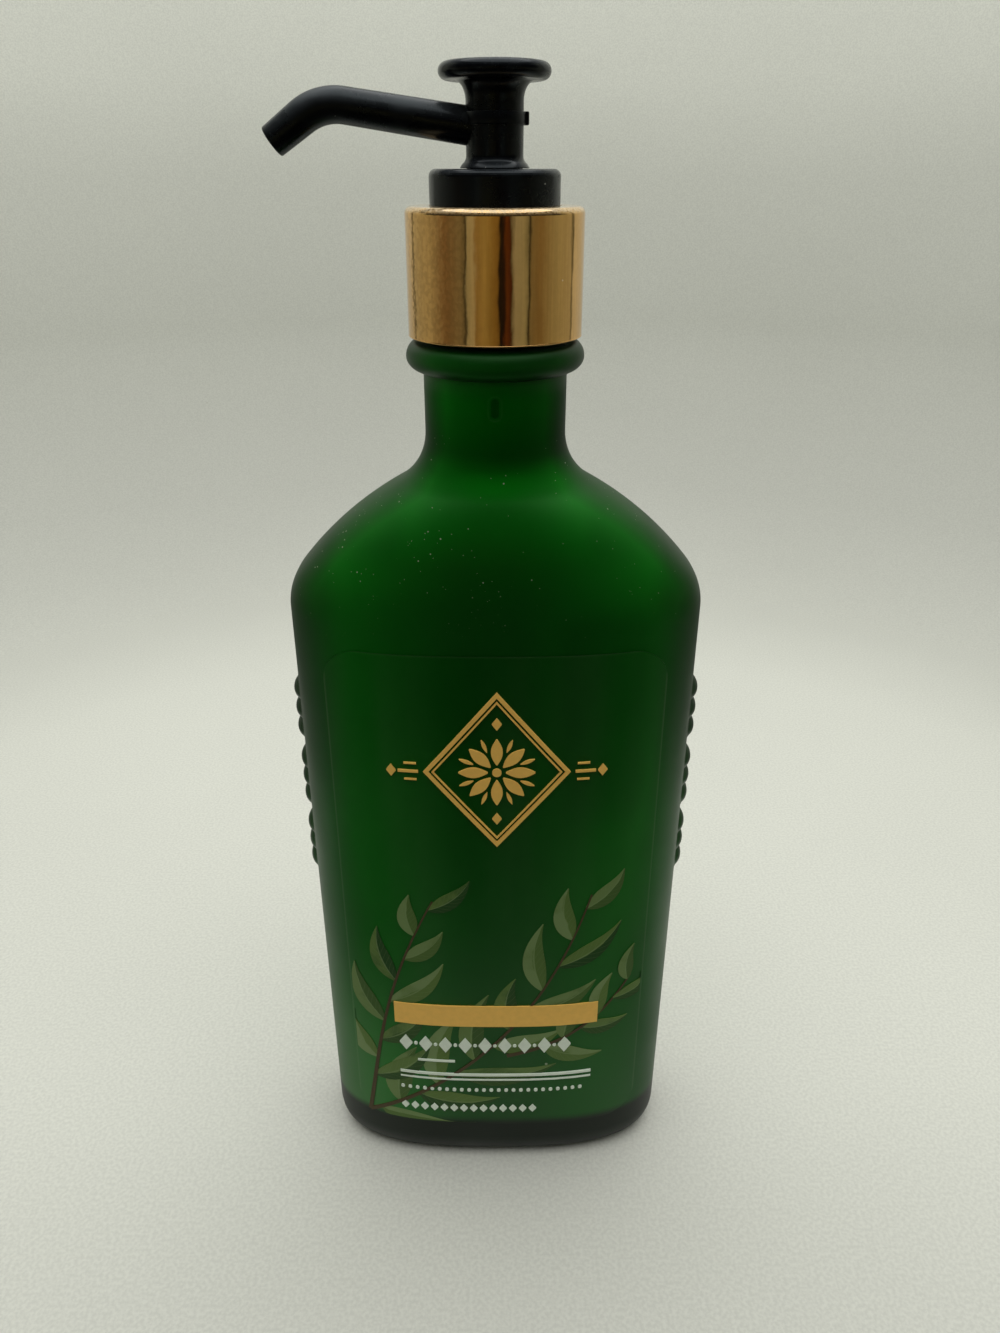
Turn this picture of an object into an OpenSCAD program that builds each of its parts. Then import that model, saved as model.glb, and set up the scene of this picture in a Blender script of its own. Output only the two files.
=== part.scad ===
// Flask-shaped pump bottle with a lock-down pump, a plain film label and a metal closure shell.
// Millimetres, +Z up. The origin is the middle of the foot, on the surface that the bottle stands on.
// The broad front face looks along -Y, and the spout points along -X. The head is locked down.

/* [Bottle body] */
// Width of the body where the shoulder begins
body_w = 65.8; // [58:0.1:80]
// Depth of the body, front to back
body_d = 30.6; // [28:0.1:40]
// Height of the straight sides, up to the shoulder
side_h = 115.6; // [90:0.1:150]
// How much closer to the middle each side is at the foot than at the shoulder
side_taper = 0.4; // [0:0.1:2]
// Squareness of the section: 2 is an ellipse, more is squarer
squareness = 2.7; // [2.2:0.1:4]
// Wall thickness
wall = 1.2; // [0.9:0.1:2]

/* [Foot] */
// Height of the rounded heel
heel_h = 6; // [4.5:0.1:9]
// How far the heel pulls in at the two narrow sides
heel_side = 3.7; // [2:0.1:8]
// How far the heel pulls in at the front and back
heel_front = 3.4; // [1.5:0.1:5]
// Width of the flat rim that the bottle stands on
rim_w = 3; // [2:0.1:5]
// Rise of the base panel inside that rim
base_rise = 1; // [0.4:0.1:1.6]

/* [Shoulder and neck] */
// Radius of the corner between side and shoulder
shoulder_r = 9.7; // [6:0.1:14]
// Lean of the shoulder from the vertical where its dome begins
dome_lean_low = 39; // [30:1:45]
// Lean of the shoulder from the vertical where the neck fillet begins
dome_lean_high = 60.5; // [55:0.5:70]
// Radius of the fillet between shoulder and neck
neck_fillet_r = 8.9; // [6:0.1:11]
// Outside diameter of the neck
neck_d = 21; // [20:0.1:24]
// Length of the plain neck below the bead
neck_h = 10.8; // [8:0.1:16]
// Outside diameter of the neck bead
bead_d = 25.9; // [25:0.1:28]
// Radius of the bead's round edge
bead_r = 2.4; // [1.6:0.1:2.6]
// Outside diameter of the finish that carries the thread
finish_d = 18.2; // [17.6:0.1:18.6]
// Height of the finish above the bead
finish_h = 13.3; // [12:0.1:15]
// Bore of the finish
finish_bore = 14.6; // [14.2:0.1:15]
// Width of the moulded index mark on the neck
mark_w = 1.8; // [1:0.1:3]
// Height of the index mark
mark_h = 3.3; // [2:0.1:5]
// Depth of the index mark
mark_depth = 0.3; // [0.1:0.05:0.5]

/* [Grip lobes] */
// Number of groups of lobes on each narrow side
lobe_groups = 3; // [1:1:3]
// Lobes in a group
lobes_per_group = 3; // [1:1:3]
// Distance from lobe to lobe in a group
lobe_pitch = 3.65; // [3:0.05:4]
// Distance from group to group
lobe_group_pitch = 13.6; // [12:0.1:15]
// Middle of the top lobe, below the shoulder
lobe_drop = 16.2; // [12:0.1:24]
// Length of a lobe, front to back
lobe_len = 9.5; // [7:0.1:12]
// Radius of a lobe at its middle
lobe_r = 2.2; // [1.9:0.05:2.6]
// How far a lobe stands proud of the side
lobe_proud = 1.3; // [0.8:0.05:1.5]

/* [Front label] */
// Width of the film
label_w = 54; // [36:0.1:56]
// Bottom edge of the film above the base
label_z = 9.8; // [9.5:0.1:20]
// Distance from the film's top edge down from the shoulder
label_drop = 3.6; // [2:0.1:12]
// Radius of the film's corners
label_corner_r = 6; // [2:0.1:10]
// Thickness of the film
film_t = 0.12; // [0.08:0.01:0.3]

/* [Closure] */
// Diameter of the metal shell at its top
shell_top_d = 24.8; // [24.4:0.1:25.2]
// Diameter of the metal shell at its bottom edge
shell_bottom_d = 24.9; // [24.6:0.1:25.4]
// Height of the metal shell
shell_h = 16.9; // [15.5:0.1:17.2]
// Thickness of the metal
shell_t = 0.4; // [0.3:0.05:0.5]
// Radius of the shell's turned top edge
shell_edge_r = 0.9; // [0.7:0.1:1.3]
// Wall thickness of the screw cap
cap_wall = 1.6; // [1.3:0.1:1.8]
// Thickness of the screw cap's top plate
cap_top_t = 1.3; // [1:0.1:2]
// How far the screw cap's skirt stops short of the shell's bottom edge
cap_recess = 0.7; // [0.2:0.1:1.5]
// Thickness of the sealing gasket
gasket_t = 1; // [0.6:0.1:1.6]

/* [Pump housing] */
// Diameter of the housing's flange
flange_d = 18.6; // [17.8:0.1:19]
// Thickness of the housing's flange
flange_t = 1.1; // [0.8:0.1:1.6]
// Outside diameter of the barrel
barrel_d = 12.8; // [12.6:0.1:13.4]
// Bore of the barrel
barrel_bore = 10.6; // [10.4:0.1:10.8]
// Diameter of the air hole in the barrel
air_hole_d = 1; // [0.6:0.1:1.4]
// Middle of the air hole below the lock collar's sleeve
air_hole_drop = 2; // [1.5:0.1:4]
// Height of the boss above the flange
boss_h = 2.6; // [2.2:0.1:3]
// Diameter of the boss
boss_d = 13.6; // [13.2:0.1:14]
// Diameter of the chamber that holds the inlet ball
ball_room_d = 6.8; // [6:0.1:7.4]
// Diameter of the port below the inlet ball
inlet_port_d = 2.4; // [2:0.1:2.6]
// Length of that port
inlet_port_h = 2; // [1.2:0.1:3]
// Outside diameter of the tail that grips the dip tube
tail_d = 7.4; // [7:0.1:8.4]
// Height of the taper between the tail and the barrel
tail_taper_h = 3; // [2:0.1:5]
// Depth of the dip tube's socket
socket_h = 9; // [6:0.1:14]
// Outside diameter of the dip tube
tube_d = 5; // [4.4:0.1:5.4]
// Wall of the dip tube
tube_wall = 0.8; // [0.6:0.1:1.1]
// Gap between the dip tube's tip and the floor inside the bottle
tube_tip_gap = 2; // [1:0.1:6]
// Height of the slant across the dip tube's tip
tube_slant = 3; // [0:0.1:5]

/* [Pump mechanism] */
// Stroke of the head
stroke = 10; // [6:0.1:12]
// Outside diameter of the stem
stem_d = 5.6; // [5.2:0.1:5.8]
// Bore of the stem where the outlet ball moves
stem_bore = 3.4; // [3.2:0.1:3.6]
// Bore of the stem above the outlet ball
stem_upper_bore = 2.2; // [2:0.1:2.4]
// Thickness of the stem's stop ring above the piston
stop_t = 0.8; // [0.6:0.1:1.4]
// Diameter of the stop ring
stop_d = 7.2; // [6.6:0.1:8]
// Depth of the stop ring below the housing's flange while the head is locked down
stop_depth = 15; // [14:0.1:18]
// How far the stem stops short of the piston's foot
stem_short = 1; // [0.5:0.1:2]
// Length of the piston
piston_h = 7; // [5:0.1:9]
// Height of each sealing lip of the piston
lip_h = 1.3; // [0.8:0.1:1.8]
// Depth of the waist between the lips
waist_depth = 0.7; // [0.4:0.1:1]
// Thickness of the valve plug's flange
plug_flange_t = 0.9; // [0.6:0.1:1.4]
// Length of the valve plug's spigot inside the stem
plug_spigot_h = 4; // [2.5:0.1:5]
// Bore of the valve plug
plug_bore = 1.6; // [1.2:0.1:1.8]
// Diameter of the outlet ball
outlet_ball_d = 2.6; // [2.4:0.1:2.8]
// Diameter of the inlet ball
inlet_ball_d = 4; // [3.8:0.1:4.4]
// Lift of either ball off its seat
ball_lift = 1; // [0.6:0.1:1.4]
// Thickness of the ball cage's plate
cage_t = 1; // [0.8:0.1:1.4]
// How far the cage's hole laps over the ball all round
cage_lap = 0.5; // [0.3:0.05:0.7]
// Number of flow holes round the cage's hole
cage_vents = 3; // [2:1:4]
// Diameter of each flow hole
cage_vent_d = 1.3; // [0.8:0.1:1.6]
// Distance from the cage's middle to each flow hole
cage_vent_x = 2.6; // [2.6:0.1:3.4]
// Wire diameter of the return spring
wire_d = 0.9; // [0.6:0.05:1]
// Outside diameter of the return spring
spring_d = 9.5; // [8.8:0.1:9.8]
// Length of the return spring while the head is locked down
spring_h = 9.1; // [8:0.1:12]
// Turns of the return spring
spring_turns = 6; // [4:1:7]

/* [Lock collar] */
// Diameter of the lock collar
collar_d = 17.9; // [17.4:0.1:18.4]
// Height of the lock collar above the closure shell
collar_h = 4.5; // [3.8:0.1:8]
// Radius of the collar's top edge
collar_edge_r = 0.9; // [0.3:0.1:1]
// Depth of the bore that locks the head's shank
lock_depth = 6.8; // [5:0.1:8]

/* [Head] */
// Diameter of the finger disc
disc_d = 14.8; // [12:0.1:20]
// Thickness of the disc's rim
disc_t = 2.1; // [1.6:0.1:3]
// Dish in the top of the disc
disc_dish = 0.6; // [0.2:0.1:0.9]
// Diameter of the hub
hub_d = 7.7; // [7.5:0.1:9]
// Height of the hub and disc above the lock collar
head_h = 12.4; // [12:0.1:18]
// Height of the flare under the disc
flare_h = 2.3; // [1.5:0.1:3]
// Width of the flare under the disc
flare_w = 1.5; // [1:0.1:2.4]
// Diameter of the skirt that rests on the lock collar
skirt_d = 9.4; // [8.6:0.1:11]
// Height of that skirt
skirt_h = 1; // [0.6:0.1:2]
// Diameter of the head's shank inside the lock collar
shank_d = 7.6; // [7.4:0.1:7.8]
// Length of the shank below the skirt
shank_h = 6.3; // [4:0.1:6.4]
// How far the stem reaches up into the hub above the skirt
stem_grip = 2.6; // [2:0.1:2.8]

/* [Spout] */
// Diameter of the spout where it leaves the hub
spout_root_d = 4.8; // [4.6:0.1:5]
// Diameter of the spout along its bend
spout_bend_d = 4.5; // [4.2:0.1:4.6]
// Diameter of the spout at its tip
spout_tip_d = 4.2; // [3.8:0.1:4.4]
// Bore of the spout
spout_bore = 2.7; // [2:0.1:3]
// Height of the spout's axis above the collar, at the middle of the hub
spout_z = 4.6; // [4.2:0.1:5]
// Climb of the spout's straight run
spout_rise = 8.2; // [0:0.1:10]
// Fall of the spout's last stretch below the horizontal
spout_fall = 34.5; // [20:0.5:60]
// Length of the spout's axis from the middle of the hub to the bend
spout_run = 20; // [12:0.1:26]
// Radius of the bend
spout_bend_r = 8; // [6:0.1:14]
// Length of the stretch after the bend
spout_drop = 5.2; // [3:0.1:12]
// Diameter of the spigot inside the hub's side port
spigot_d = 3.9; // [3.6:0.1:4]
// Height of the strap round the hub
strap_h = 1.5; // [1:0.1:2]
// Thickness of the strap
strap_t = 0.3; // [0.2:0.05:0.6]
// Bottom of the strap above the lock collar
strap_z = 5.2; // [4.8:0.1:5.6]
// Width of the clasp behind the hub
clasp_w = 1.6; // [1:0.1:2.4]
// How far the clasp stands out from the hub
clasp_out = 0.7; // [0.5:0.05:1.2]

/* [Fits] */
// Gap round a piece that slides or turns in another
running = 0.05; // [0.03:0.01:0.08]
// Gap between pieces that are pushed together
seat = 0.02; // [0.01:0.01:0.05]
// Gap round pieces that only clear each other
clear = 0.2; // [0.1:0.05:0.25]

/* [Hidden] */
$fn = 72;

// Sides of the lofted pieces, steps of their curves, and a lap that makes neighbours overlap
OUTER_SIDES = 64;
INNER_SIDES = 48;
HEEL_STEPS = 6;
CORNER_STEPS = 6;
DOME_STEPS = 5;
FILLET_STEPS = 6;
FILLET_END = 8;
ROUND_STEPS = 6;
BEND_STEPS = 8;
SPOUT_SIDES = 32;
BORE_SIDES = 20;
LAP = 1;

// The shoulder: the dome's radius closes the run of tangent arcs between side and neck
dome_r = (body_w/2 - neck_d/2 - shoulder_r*(1 - cos(dome_lean_low))
    - neck_fillet_r*(1 - cos(dome_lean_high)))/(cos(dome_lean_low) - cos(dome_lean_high));
dome_z = side_h + shoulder_r*sin(dome_lean_low);
fillet_z = dome_z + dome_r*(sin(dome_lean_high) - sin(dome_lean_low));
neck_z = fillet_z + neck_fillet_r*sin(dome_lean_high);
bead_z = neck_z + neck_h;
finish_z = bead_z + bead_r + finish_h;
floor_z = base_rise + wall;
neck_inner_r = neck_d/2 - wall;

// The closure and the pump hang from the finish
flange_z = finish_z + gasket_t;
cap_under_z = flange_z + flange_t + clear/2;
cap_top_z = cap_under_z + cap_top_t;
shell_top_z = cap_top_z + clear/2 + shell_t;
shell_bottom_z = shell_top_z - shell_h;
cap_bottom_z = shell_bottom_z + cap_recess;
cap_r_top = shell_top_d/2 - shell_t - clear/2;
cap_r_bottom = shell_bottom_d/2 - shell_t - clear/2;
boss_z = flange_z + flange_t + boss_h;
collar_z = cap_top_z + clear;
collar_top_z = shell_top_z + collar_h;
lock_floor_z = collar_top_z - lock_depth;

// The moving column, from the head down to the spring, while the head is locked down
skirt_z = collar_top_z + running;
shank_z = skirt_z - shank_h;
stem_top_z = skirt_z + stem_grip;
head_top_z = collar_top_z + head_h;
stem_r = stem_d/2;
stop_top_z = flange_z - stop_depth;
piston_top_z = stop_top_z - stop_t - seat;
piston_z = piston_top_z - piston_h;
plug_z = piston_z - seat - plug_flange_t;
stem_z = piston_z + stem_short;
plug_top_z = piston_z + plug_spigot_h;
outlet_ball_z = plug_top_z + sqrt(pow(outlet_ball_d/2, 2) - pow(plug_bore/2, 2)) + seat;
outlet_stop_z = outlet_ball_z + ball_lift + sqrt(pow(outlet_ball_d/2, 2) - pow(stem_upper_bore/2, 2));
sleeve_z = stop_top_z + stroke + clear;

// Below the spring: the ball cage, the inlet ball on its cone, the port and the dip tube
spring_z = plug_z - running - spring_h;
cage_z = spring_z - running - cage_t;
cage_hole_r = inlet_ball_d/2 - cage_lap;
inlet_ball_z = cage_z - sqrt(pow(inlet_ball_d/2, 2) - pow(cage_hole_r, 2)) - ball_lift - seat;
seat_z = inlet_ball_z - seat - inlet_ball_d/2*sqrt(2) + inlet_port_d/2;
seat_top_z = seat_z + (ball_room_d - inlet_port_d)/2;
socket_z = seat_z - inlet_port_h;
tail_z = socket_z - socket_h;
tube_z = floor_z + tube_tip_gap;

// x to the power e, keeping x's sign
function signed_pow(x, e) = sign(x)*pow(abs(x), e);

// One superellipse ring: half-widths a and b, squareness n, at height z
function ring(z, a, b, n, sides) = [for (i = [0:sides - 1])
    [a*signed_pow(cos(360*i/sides), 2/n), b*signed_pow(sin(360*i/sides), 2/n), z]];

// Points of an elliptical arc from angle q0 to q1, as [x, z], from the first step on
function arc(x, z, rx, rz, q0, q1, steps, first = 0) = [for (i = [first:steps])
    let(q = q0 + (q1 - q0)*i/steps) [x + rx*cos(q), z + rz*sin(q)]];

// Half-width and half-depth of the straight sides at height z
function side_a(z) = body_w/2 - side_taper*(1 - z/side_h);
function side_b(z) = body_d/2 - side_taper*(1 - z/side_h);

// The heel rises as a quarter ellipse from z0 to the heel's height, inset by off
function heel_rings(z0, off, sides) = [for (i = [0:HEEL_STEPS])
    let(q = 90*i/HEEL_STEPS, pull = 1 - sin(q), z = z0 + (heel_h - z0)*(1 - cos(q)))
    ring(z, side_a(z) - off - heel_side*pull, side_b(z) - off - heel_front*pull, squareness, sides)];

// The shoulder's half-width: corner arc, dome arc and neck fillet, each tangent to the next, inset by off
function shoulder_path(off) =
    let(corner_x = body_w/2 - shoulder_r,
        dome_x = corner_x + (shoulder_r - dome_r)*cos(dome_lean_low),
        dome_zc = side_h + (shoulder_r - dome_r)*sin(dome_lean_low),
        fillet_x = neck_d/2 + neck_fillet_r)
    concat(arc(corner_x, side_h, shoulder_r - off, shoulder_r - off, 0, dome_lean_low, CORNER_STEPS),
        arc(dome_x, dome_zc, dome_r - off, dome_r - off, dome_lean_low, dome_lean_high, DOME_STEPS, 1),
        arc(fillet_x, neck_z, neck_fillet_r + off, neck_fillet_r + off, 180 + dome_lean_high,
            180 + FILLET_END, FILLET_STEPS, 1));

// The section runs from the body's superellipse to the neck's circle as the shoulder closes
function shoulder_rings(off, sides) = [for (p = shoulder_path(off))
    let(grow = (p[0] - neck_d/2 + off)/(body_w/2 - neck_d/2),
        b = neck_d/2 - off + (body_d/2 - neck_d/2)*(1 - pow(1 - grow, 2)))
    ring(p[1], p[0], b, 2 + (squareness - 2)*grow, sides)];

// A closed skin through rings that have the same number of points
module loft(rings) {
    sides = len(rings[0]);
    last = (len(rings) - 1)*sides;
    walls = [for (k = [0:len(rings) - 2]) for (i = [0:sides - 1])
        let(p = k*sides, j = (i + 1)%sides)
        each [[p + i, p + sides + i, p + sides + j], [p + i, p + sides + j, p + j]]];
    bottom = [for (i = [0:sides - 1]) i];
    top = [for (i = [sides - 1:-1:0]) last + i];
    polyhedron([for (r = rings) each r], concat([bottom, top], walls));
}

// A round bar or bore from z0 to z1
module rod(r, z0, z1) {
    translate([0, 0, z0]) cylinder(r = r, h = z1 - z0);
}

// A round bar or bore that tapers from r0 at z0 to r1 at z1
module taper(r0, r1, z0, z1) {
    translate([0, 0, z0]) cylinder(r1 = r0, r2 = r1, h = z1 - z0);
}

// The flask: a solid lofted from its foot to the neck
module flask_body() {
    base_a = side_a(0) - heel_side - rim_w;
    base_b = side_b(0) - heel_front - rim_w;
    panel = ring(base_rise, base_a - base_rise, base_b - base_rise, squareness, OUTER_SIDES);
    rim = ring(0, base_a, base_b, squareness, OUTER_SIDES);
    loft(concat([panel, rim], heel_rings(0, 0, OUTER_SIDES), shoulder_rings(0, OUTER_SIDES)));
}

// The hollow of the flask up to the neck, one wall inside the outside
module flask_hollow() {
    loft(concat(heel_rings(floor_z, wall, INNER_SIDES), shoulder_rings(wall, INNER_SIDES)));
}

// Neck, bead and finish, solid
module neck_form() {
    rod(neck_d/2, fillet_z, bead_z);
    rod(finish_d/2, bead_z - LAP, finish_z);
    translate([0, 0, bead_z]) rotate_extrude() translate([bead_d/2 - bead_r, 0]) circle(r = bead_r);
}

// Neck bore: wide below the bead, drawn in to the finish's bore above it
module neck_hollow() {
    rod(neck_inner_r, fillet_z, bead_z - bead_r);
    taper(neck_inner_r, finish_bore/2, bead_z - bead_r, bead_z + bead_r);
    rod(finish_bore/2, bead_z + bead_r, finish_z + LAP);
}

// A lobe: a spindle that lies front to back, turned from one circular arc
module grip_lobe() {
    arc_r = (pow(lobe_len/2, 2) + pow(lobe_r, 2))/(2*lobe_r);
    half = asin(lobe_len/2/arc_r);
    rotate([90, 0, 0]) rotate_extrude($fn = 32)
        polygon(arc(lobe_r - arc_r, 0, arc_r, arc_r, -half, half, ROUND_STEPS + 2));
}

// The groups of lobes down one narrow side
module grip_lobes() {
    for (g = [0:lobe_groups - 1], k = [0:lobes_per_group - 1]) {
        z = side_h - lobe_drop - g*lobe_group_pitch - k*lobe_pitch;
        translate([side_a(z) + lobe_proud - lobe_r, 0, z]) grip_lobe();
    }
}

// The index mark: a shallow slot with round ends in the front of the neck
module index_mark() {
    translate([0, mark_depth - neck_d/2, bead_z - bead_r - mark_h]) rotate([90, 0, 0])
        linear_extrude(height = LAP) {
            square([mark_w, mark_h - mark_w], center = true);
            for (s = [-1, 1]) translate([0, s*(mark_h - mark_w)/2]) circle(d = mark_w);
        }
}

module bottle() {
    color([0.01, 0.16, 0.04]) difference() {
        union() {
            flask_body();
            neck_form();
            grip_lobes();
            mirror([1, 0, 0]) grip_lobes();
        }
        flask_hollow();
        neck_hollow();
        index_mark();
    }
}

// The straight part of the flask's outside, grown by off
module side_skin(off) {
    loft([for (z = [heel_h, side_h]) ring(z, side_a(z) + off, side_b(z) + off, squareness, OUTER_SIDES)]);
}

// The film: a thin skin over the front face, trimmed to a rectangle with round corners
module front_label() {
    label_h = side_h - label_drop - label_z;
    inset_x = label_w/2 - label_corner_r;
    inset_z = label_h/2 - label_corner_r;
    color([0.55, 0.7, 0.5, 0.35]) intersection() {
        difference() {
            side_skin(seat + film_t);
            side_skin(seat);
        }
        translate([0, 0, label_z + label_h/2]) rotate([90, 0, 0]) linear_extrude(height = body_d)
            hull() for (x = [-inset_x, inset_x], z = [-inset_z, inset_z])
                translate([x, z]) circle(r = label_corner_r, $fn = 32);
    }
}

// The plastic cap that screws to the finish; it is drawn without its thread
module screw_cap() {
    edge_r = shell_edge_r - shell_t - clear/2;
    edge = arc(cap_r_top - edge_r, cap_top_z - edge_r, edge_r, edge_r, 0, 90, ROUND_STEPS);
    color([0.85, 0.83, 0.78]) difference() {
        rotate_extrude() polygon(concat([[0, cap_bottom_z], [cap_r_bottom, cap_bottom_z]], edge,
            [[0, cap_top_z]]));
        rod(cap_r_top - cap_wall, cap_bottom_z - LAP, cap_under_z);
        rod(boss_d/2 + clear, cap_under_z - LAP, cap_top_z + LAP);
    }
}

// The metal shell over the cap: a drawn cup whose top edge turns in round the lock collar
module closure_shell() {
    hole_r = collar_d/2 + clear;
    top_r = shell_top_d/2;
    bottom_r = shell_bottom_d/2;
    edge = arc(top_r - shell_edge_r, shell_top_z - shell_edge_r, shell_edge_r, shell_edge_r, 0, 90, ROUND_STEPS);
    inner_edge_r = shell_edge_r - shell_t;
    inner_edge = arc(top_r - shell_edge_r, shell_top_z - shell_edge_r, inner_edge_r, inner_edge_r, 90, 0,
        ROUND_STEPS);
    color([0.83, 0.62, 0.3]) rotate_extrude() polygon(concat([[bottom_r, shell_bottom_z]], edge,
        [[hole_r, shell_top_z], [hole_r, shell_top_z - shell_t]], inner_edge,
        [[bottom_r - shell_t, shell_bottom_z]]));
}

// The soft ring between the finish and the housing's flange
module neck_gasket() {
    color([0.9, 0.9, 0.88]) difference() {
        rod(finish_d/2, finish_z, flange_z);
        rod(barrel_d/2 + clear, finish_z - LAP, flange_z + LAP);
    }
}

// The barrel, its flange and boss, the seat for the inlet ball and the tail for the dip tube
module pump_housing() {
    taper_z = seat_top_z - tail_taper_h;
    color([0.88, 0.9, 0.9]) difference() {
        union() {
            rod(barrel_d/2, seat_top_z, flange_z + LAP/2);
            rod(flange_d/2, flange_z, flange_z + flange_t);
            rod(boss_d/2, flange_z + flange_t/2, boss_z);
            taper(tail_d/2, barrel_d/2, taper_z, seat_top_z);
            rod(tail_d/2, tail_z, taper_z + LAP);
        }
        rod(barrel_bore/2, cage_z - seat, boss_z + LAP);
        rod(ball_room_d/2, seat_top_z, cage_z + LAP);
        taper(inlet_port_d/2, ball_room_d/2, seat_z, seat_top_z);
        rod(inlet_port_d/2, socket_z - LAP, seat_z + LAP/10);
        rod(tube_d/2 + seat, tail_z - LAP, socket_z);
        translate([0, 0, sleeve_z - air_hole_drop]) rotate([0, 90, 0]) cylinder(d = air_hole_d, h = barrel_d);
    }
}

// The dip tube, with its tip cut on a slant so that it can't seal against the floor
module dip_tube() {
    color([0.9, 0.93, 0.92]) difference() {
        rod(tube_d/2, tube_z, socket_z - seat);
        rod(tube_d/2 - tube_wall, tube_z - LAP, socket_z + LAP);
        translate([-tube_d/2, 0, tube_z]) rotate([0, -atan(tube_slant/tube_d), 0])
            translate([-LAP, -tube_d, -2*tube_d]) cube([3*tube_d, 2*tube_d, 2*tube_d]);
    }
}

// The lock collar: a cap round the boss, with a sleeve into the barrel that guides the stem
module lock_collar() {
    edge = arc(collar_d/2 - collar_edge_r, collar_top_z - collar_edge_r, collar_edge_r, collar_edge_r, 0, 90,
        ROUND_STEPS);
    color([0.03, 0.03, 0.035]) difference() {
        union() {
            rotate_extrude() polygon(concat([[0, collar_z], [collar_d/2, collar_z]], edge,
                [[0, collar_top_z]]));
            rod(barrel_bore/2 - running, sleeve_z, collar_z + LAP);
        }
        difference() {
            rod(boss_d/2 + clear, collar_z - LAP, boss_z + running);
            rod(barrel_bore/2 - running, collar_z - 2*LAP, boss_z + LAP);
        }
        rod(shank_d/2 + 2*running, lock_floor_z, collar_top_z + LAP);
        rod(stem_r + running, sleeve_z - LAP, lock_floor_z + LAP);
    }
}

// The cage that keeps the inlet ball near its seat and carries the spring
module ball_cage() {
    color([0.9, 0.92, 0.92]) difference() {
        rod(barrel_bore/2 - seat, cage_z, cage_z + cage_t);
        rod(cage_hole_r, cage_z - LAP, cage_z + cage_t + LAP);
        for (i = [0:cage_vents - 1]) rotate([0, 0, 360*i/cage_vents]) translate([cage_vent_x, 0, 0])
            rod(cage_vent_d/2, cage_z - LAP, cage_z + cage_t + LAP);
    }
}

module inlet_ball() {
    color([0.7, 0.75, 0.78]) translate([0, 0, inlet_ball_z]) sphere(d = inlet_ball_d);
}

module outlet_ball() {
    color([0.7, 0.75, 0.78]) translate([0, 0, outlet_ball_z]) sphere(d = outlet_ball_d);
}

// The return spring: a round wire carried along a helix, compressed under the valve plug
module return_spring() {
    turn_steps = 16;
    wire_sides = 8;
    coil_r = (spring_d - wire_d)/2;
    rise = spring_h - wire_d;
    steps = spring_turns*turn_steps;
    wire = [for (i = [0:steps]) let(q = 360*i/turn_steps, z = spring_z + wire_d/2 + rise*i/steps)
        [for (k = [0:wire_sides - 1]) let(u = 360*k/wire_sides, r = coil_r - wire_d/2*cos(u))
            [r*cos(q), r*sin(q), z + wire_d/2*sin(u)]]];
    color([0.72, 0.74, 0.76]) loft(wire);
}

// The piston: a sleeve on the stem with a sealing lip at each end
module piston() {
    lip_r = barrel_bore/2 - running;
    waist_r = lip_r - waist_depth;
    color([0.93, 0.93, 0.9]) difference() {
        rotate_extrude() polygon([[0, piston_z], [lip_r, piston_z], [lip_r, piston_z + lip_h],
            [waist_r, piston_z + lip_h + waist_depth], [waist_r, piston_top_z - lip_h - waist_depth],
            [lip_r, piston_top_z - lip_h], [lip_r, piston_top_z], [0, piston_top_z]]);
        rod(stem_r + running, piston_z - LAP, piston_top_z + LAP);
    }
}

// The stem: a tube from the hub down through the piston, with a stop ring above the piston
module stem() {
    color([0.93, 0.93, 0.9]) difference() {
        union() {
            rod(stem_r, stem_z, stem_top_z);
            rod(stop_d/2, stop_top_z - stop_t, stop_top_z);
        }
        rod(stem_bore/2, stem_z - LAP, outlet_stop_z);
        rod(stem_upper_bore/2, outlet_stop_z - LAP, stem_top_z + LAP);
    }
}

// The valve plug: it closes the stem's foot, carries the outlet ball's seat and takes the spring's push
module valve_plug() {
    color([0.9, 0.92, 0.92]) difference() {
        union() {
            rod(barrel_bore/2 - 2*clear, plug_z, plug_z + plug_flange_t);
            rod(stem_r, plug_z + plug_flange_t/2, stem_z - seat);
            rod(stem_bore/2 - seat, plug_z + plug_flange_t/2, plug_top_z);
        }
        rod(plug_bore/2, plug_z - LAP, plug_top_z + LAP);
    }
}

// Places a piece along the spout's axis, which starts at the middle of the hub and climbs along -X
module along_spout() {
    translate([0, 0, collar_top_z + spout_z]) rotate([0, -90 + spout_rise, 0]) children();
}

// The finger disc on its waisted hub, with a skirt and a shank below
module pump_head() {
    rim_r = disc_t/2;
    hub_r = hub_d/2;
    rim_x = disc_d/2 - rim_r;
    rim_z = head_top_z - rim_r;
    flare_z = head_top_z - disc_t;
    port_top_z = collar_top_z + spout_z + spigot_d/2;
    rim = arc(rim_x, rim_z, rim_r, rim_r, -90, 90, ROUND_STEPS + 2);
    flare = arc(hub_r + flare_w, flare_z - flare_h, flare_w, flare_h, 180, 90, ROUND_STEPS);
    color([0.03, 0.03, 0.035]) difference() {
        rotate_extrude() polygon(concat([[0, shank_z], [shank_d/2, shank_z], [shank_d/2, skirt_z],
            [skirt_d/2, skirt_z], [hub_r, skirt_z + skirt_h]], flare, rim,
            [[0, head_top_z - disc_dish]]));
        rod(stem_r + seat, shank_z - LAP, stem_top_z + seat);
        rod(stem_bore/2, stem_top_z - LAP, port_top_z);
        along_spout() cylinder(d = spigot_d + 2*seat, h = hub_d);
    }
}

// One ring of the spout, q degrees round the bend and a further s along the axis, with radius r
function spout_ring(q, s, r, sides) = [for (i = [0:sides - 1])
    let(reach = spout_bend_r + r*cos(360*i/sides))
    [reach*cos(q) - spout_bend_r - s*sin(q), r*sin(360*i/sides), spout_run + reach*sin(q) + s*cos(q)]];

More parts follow.
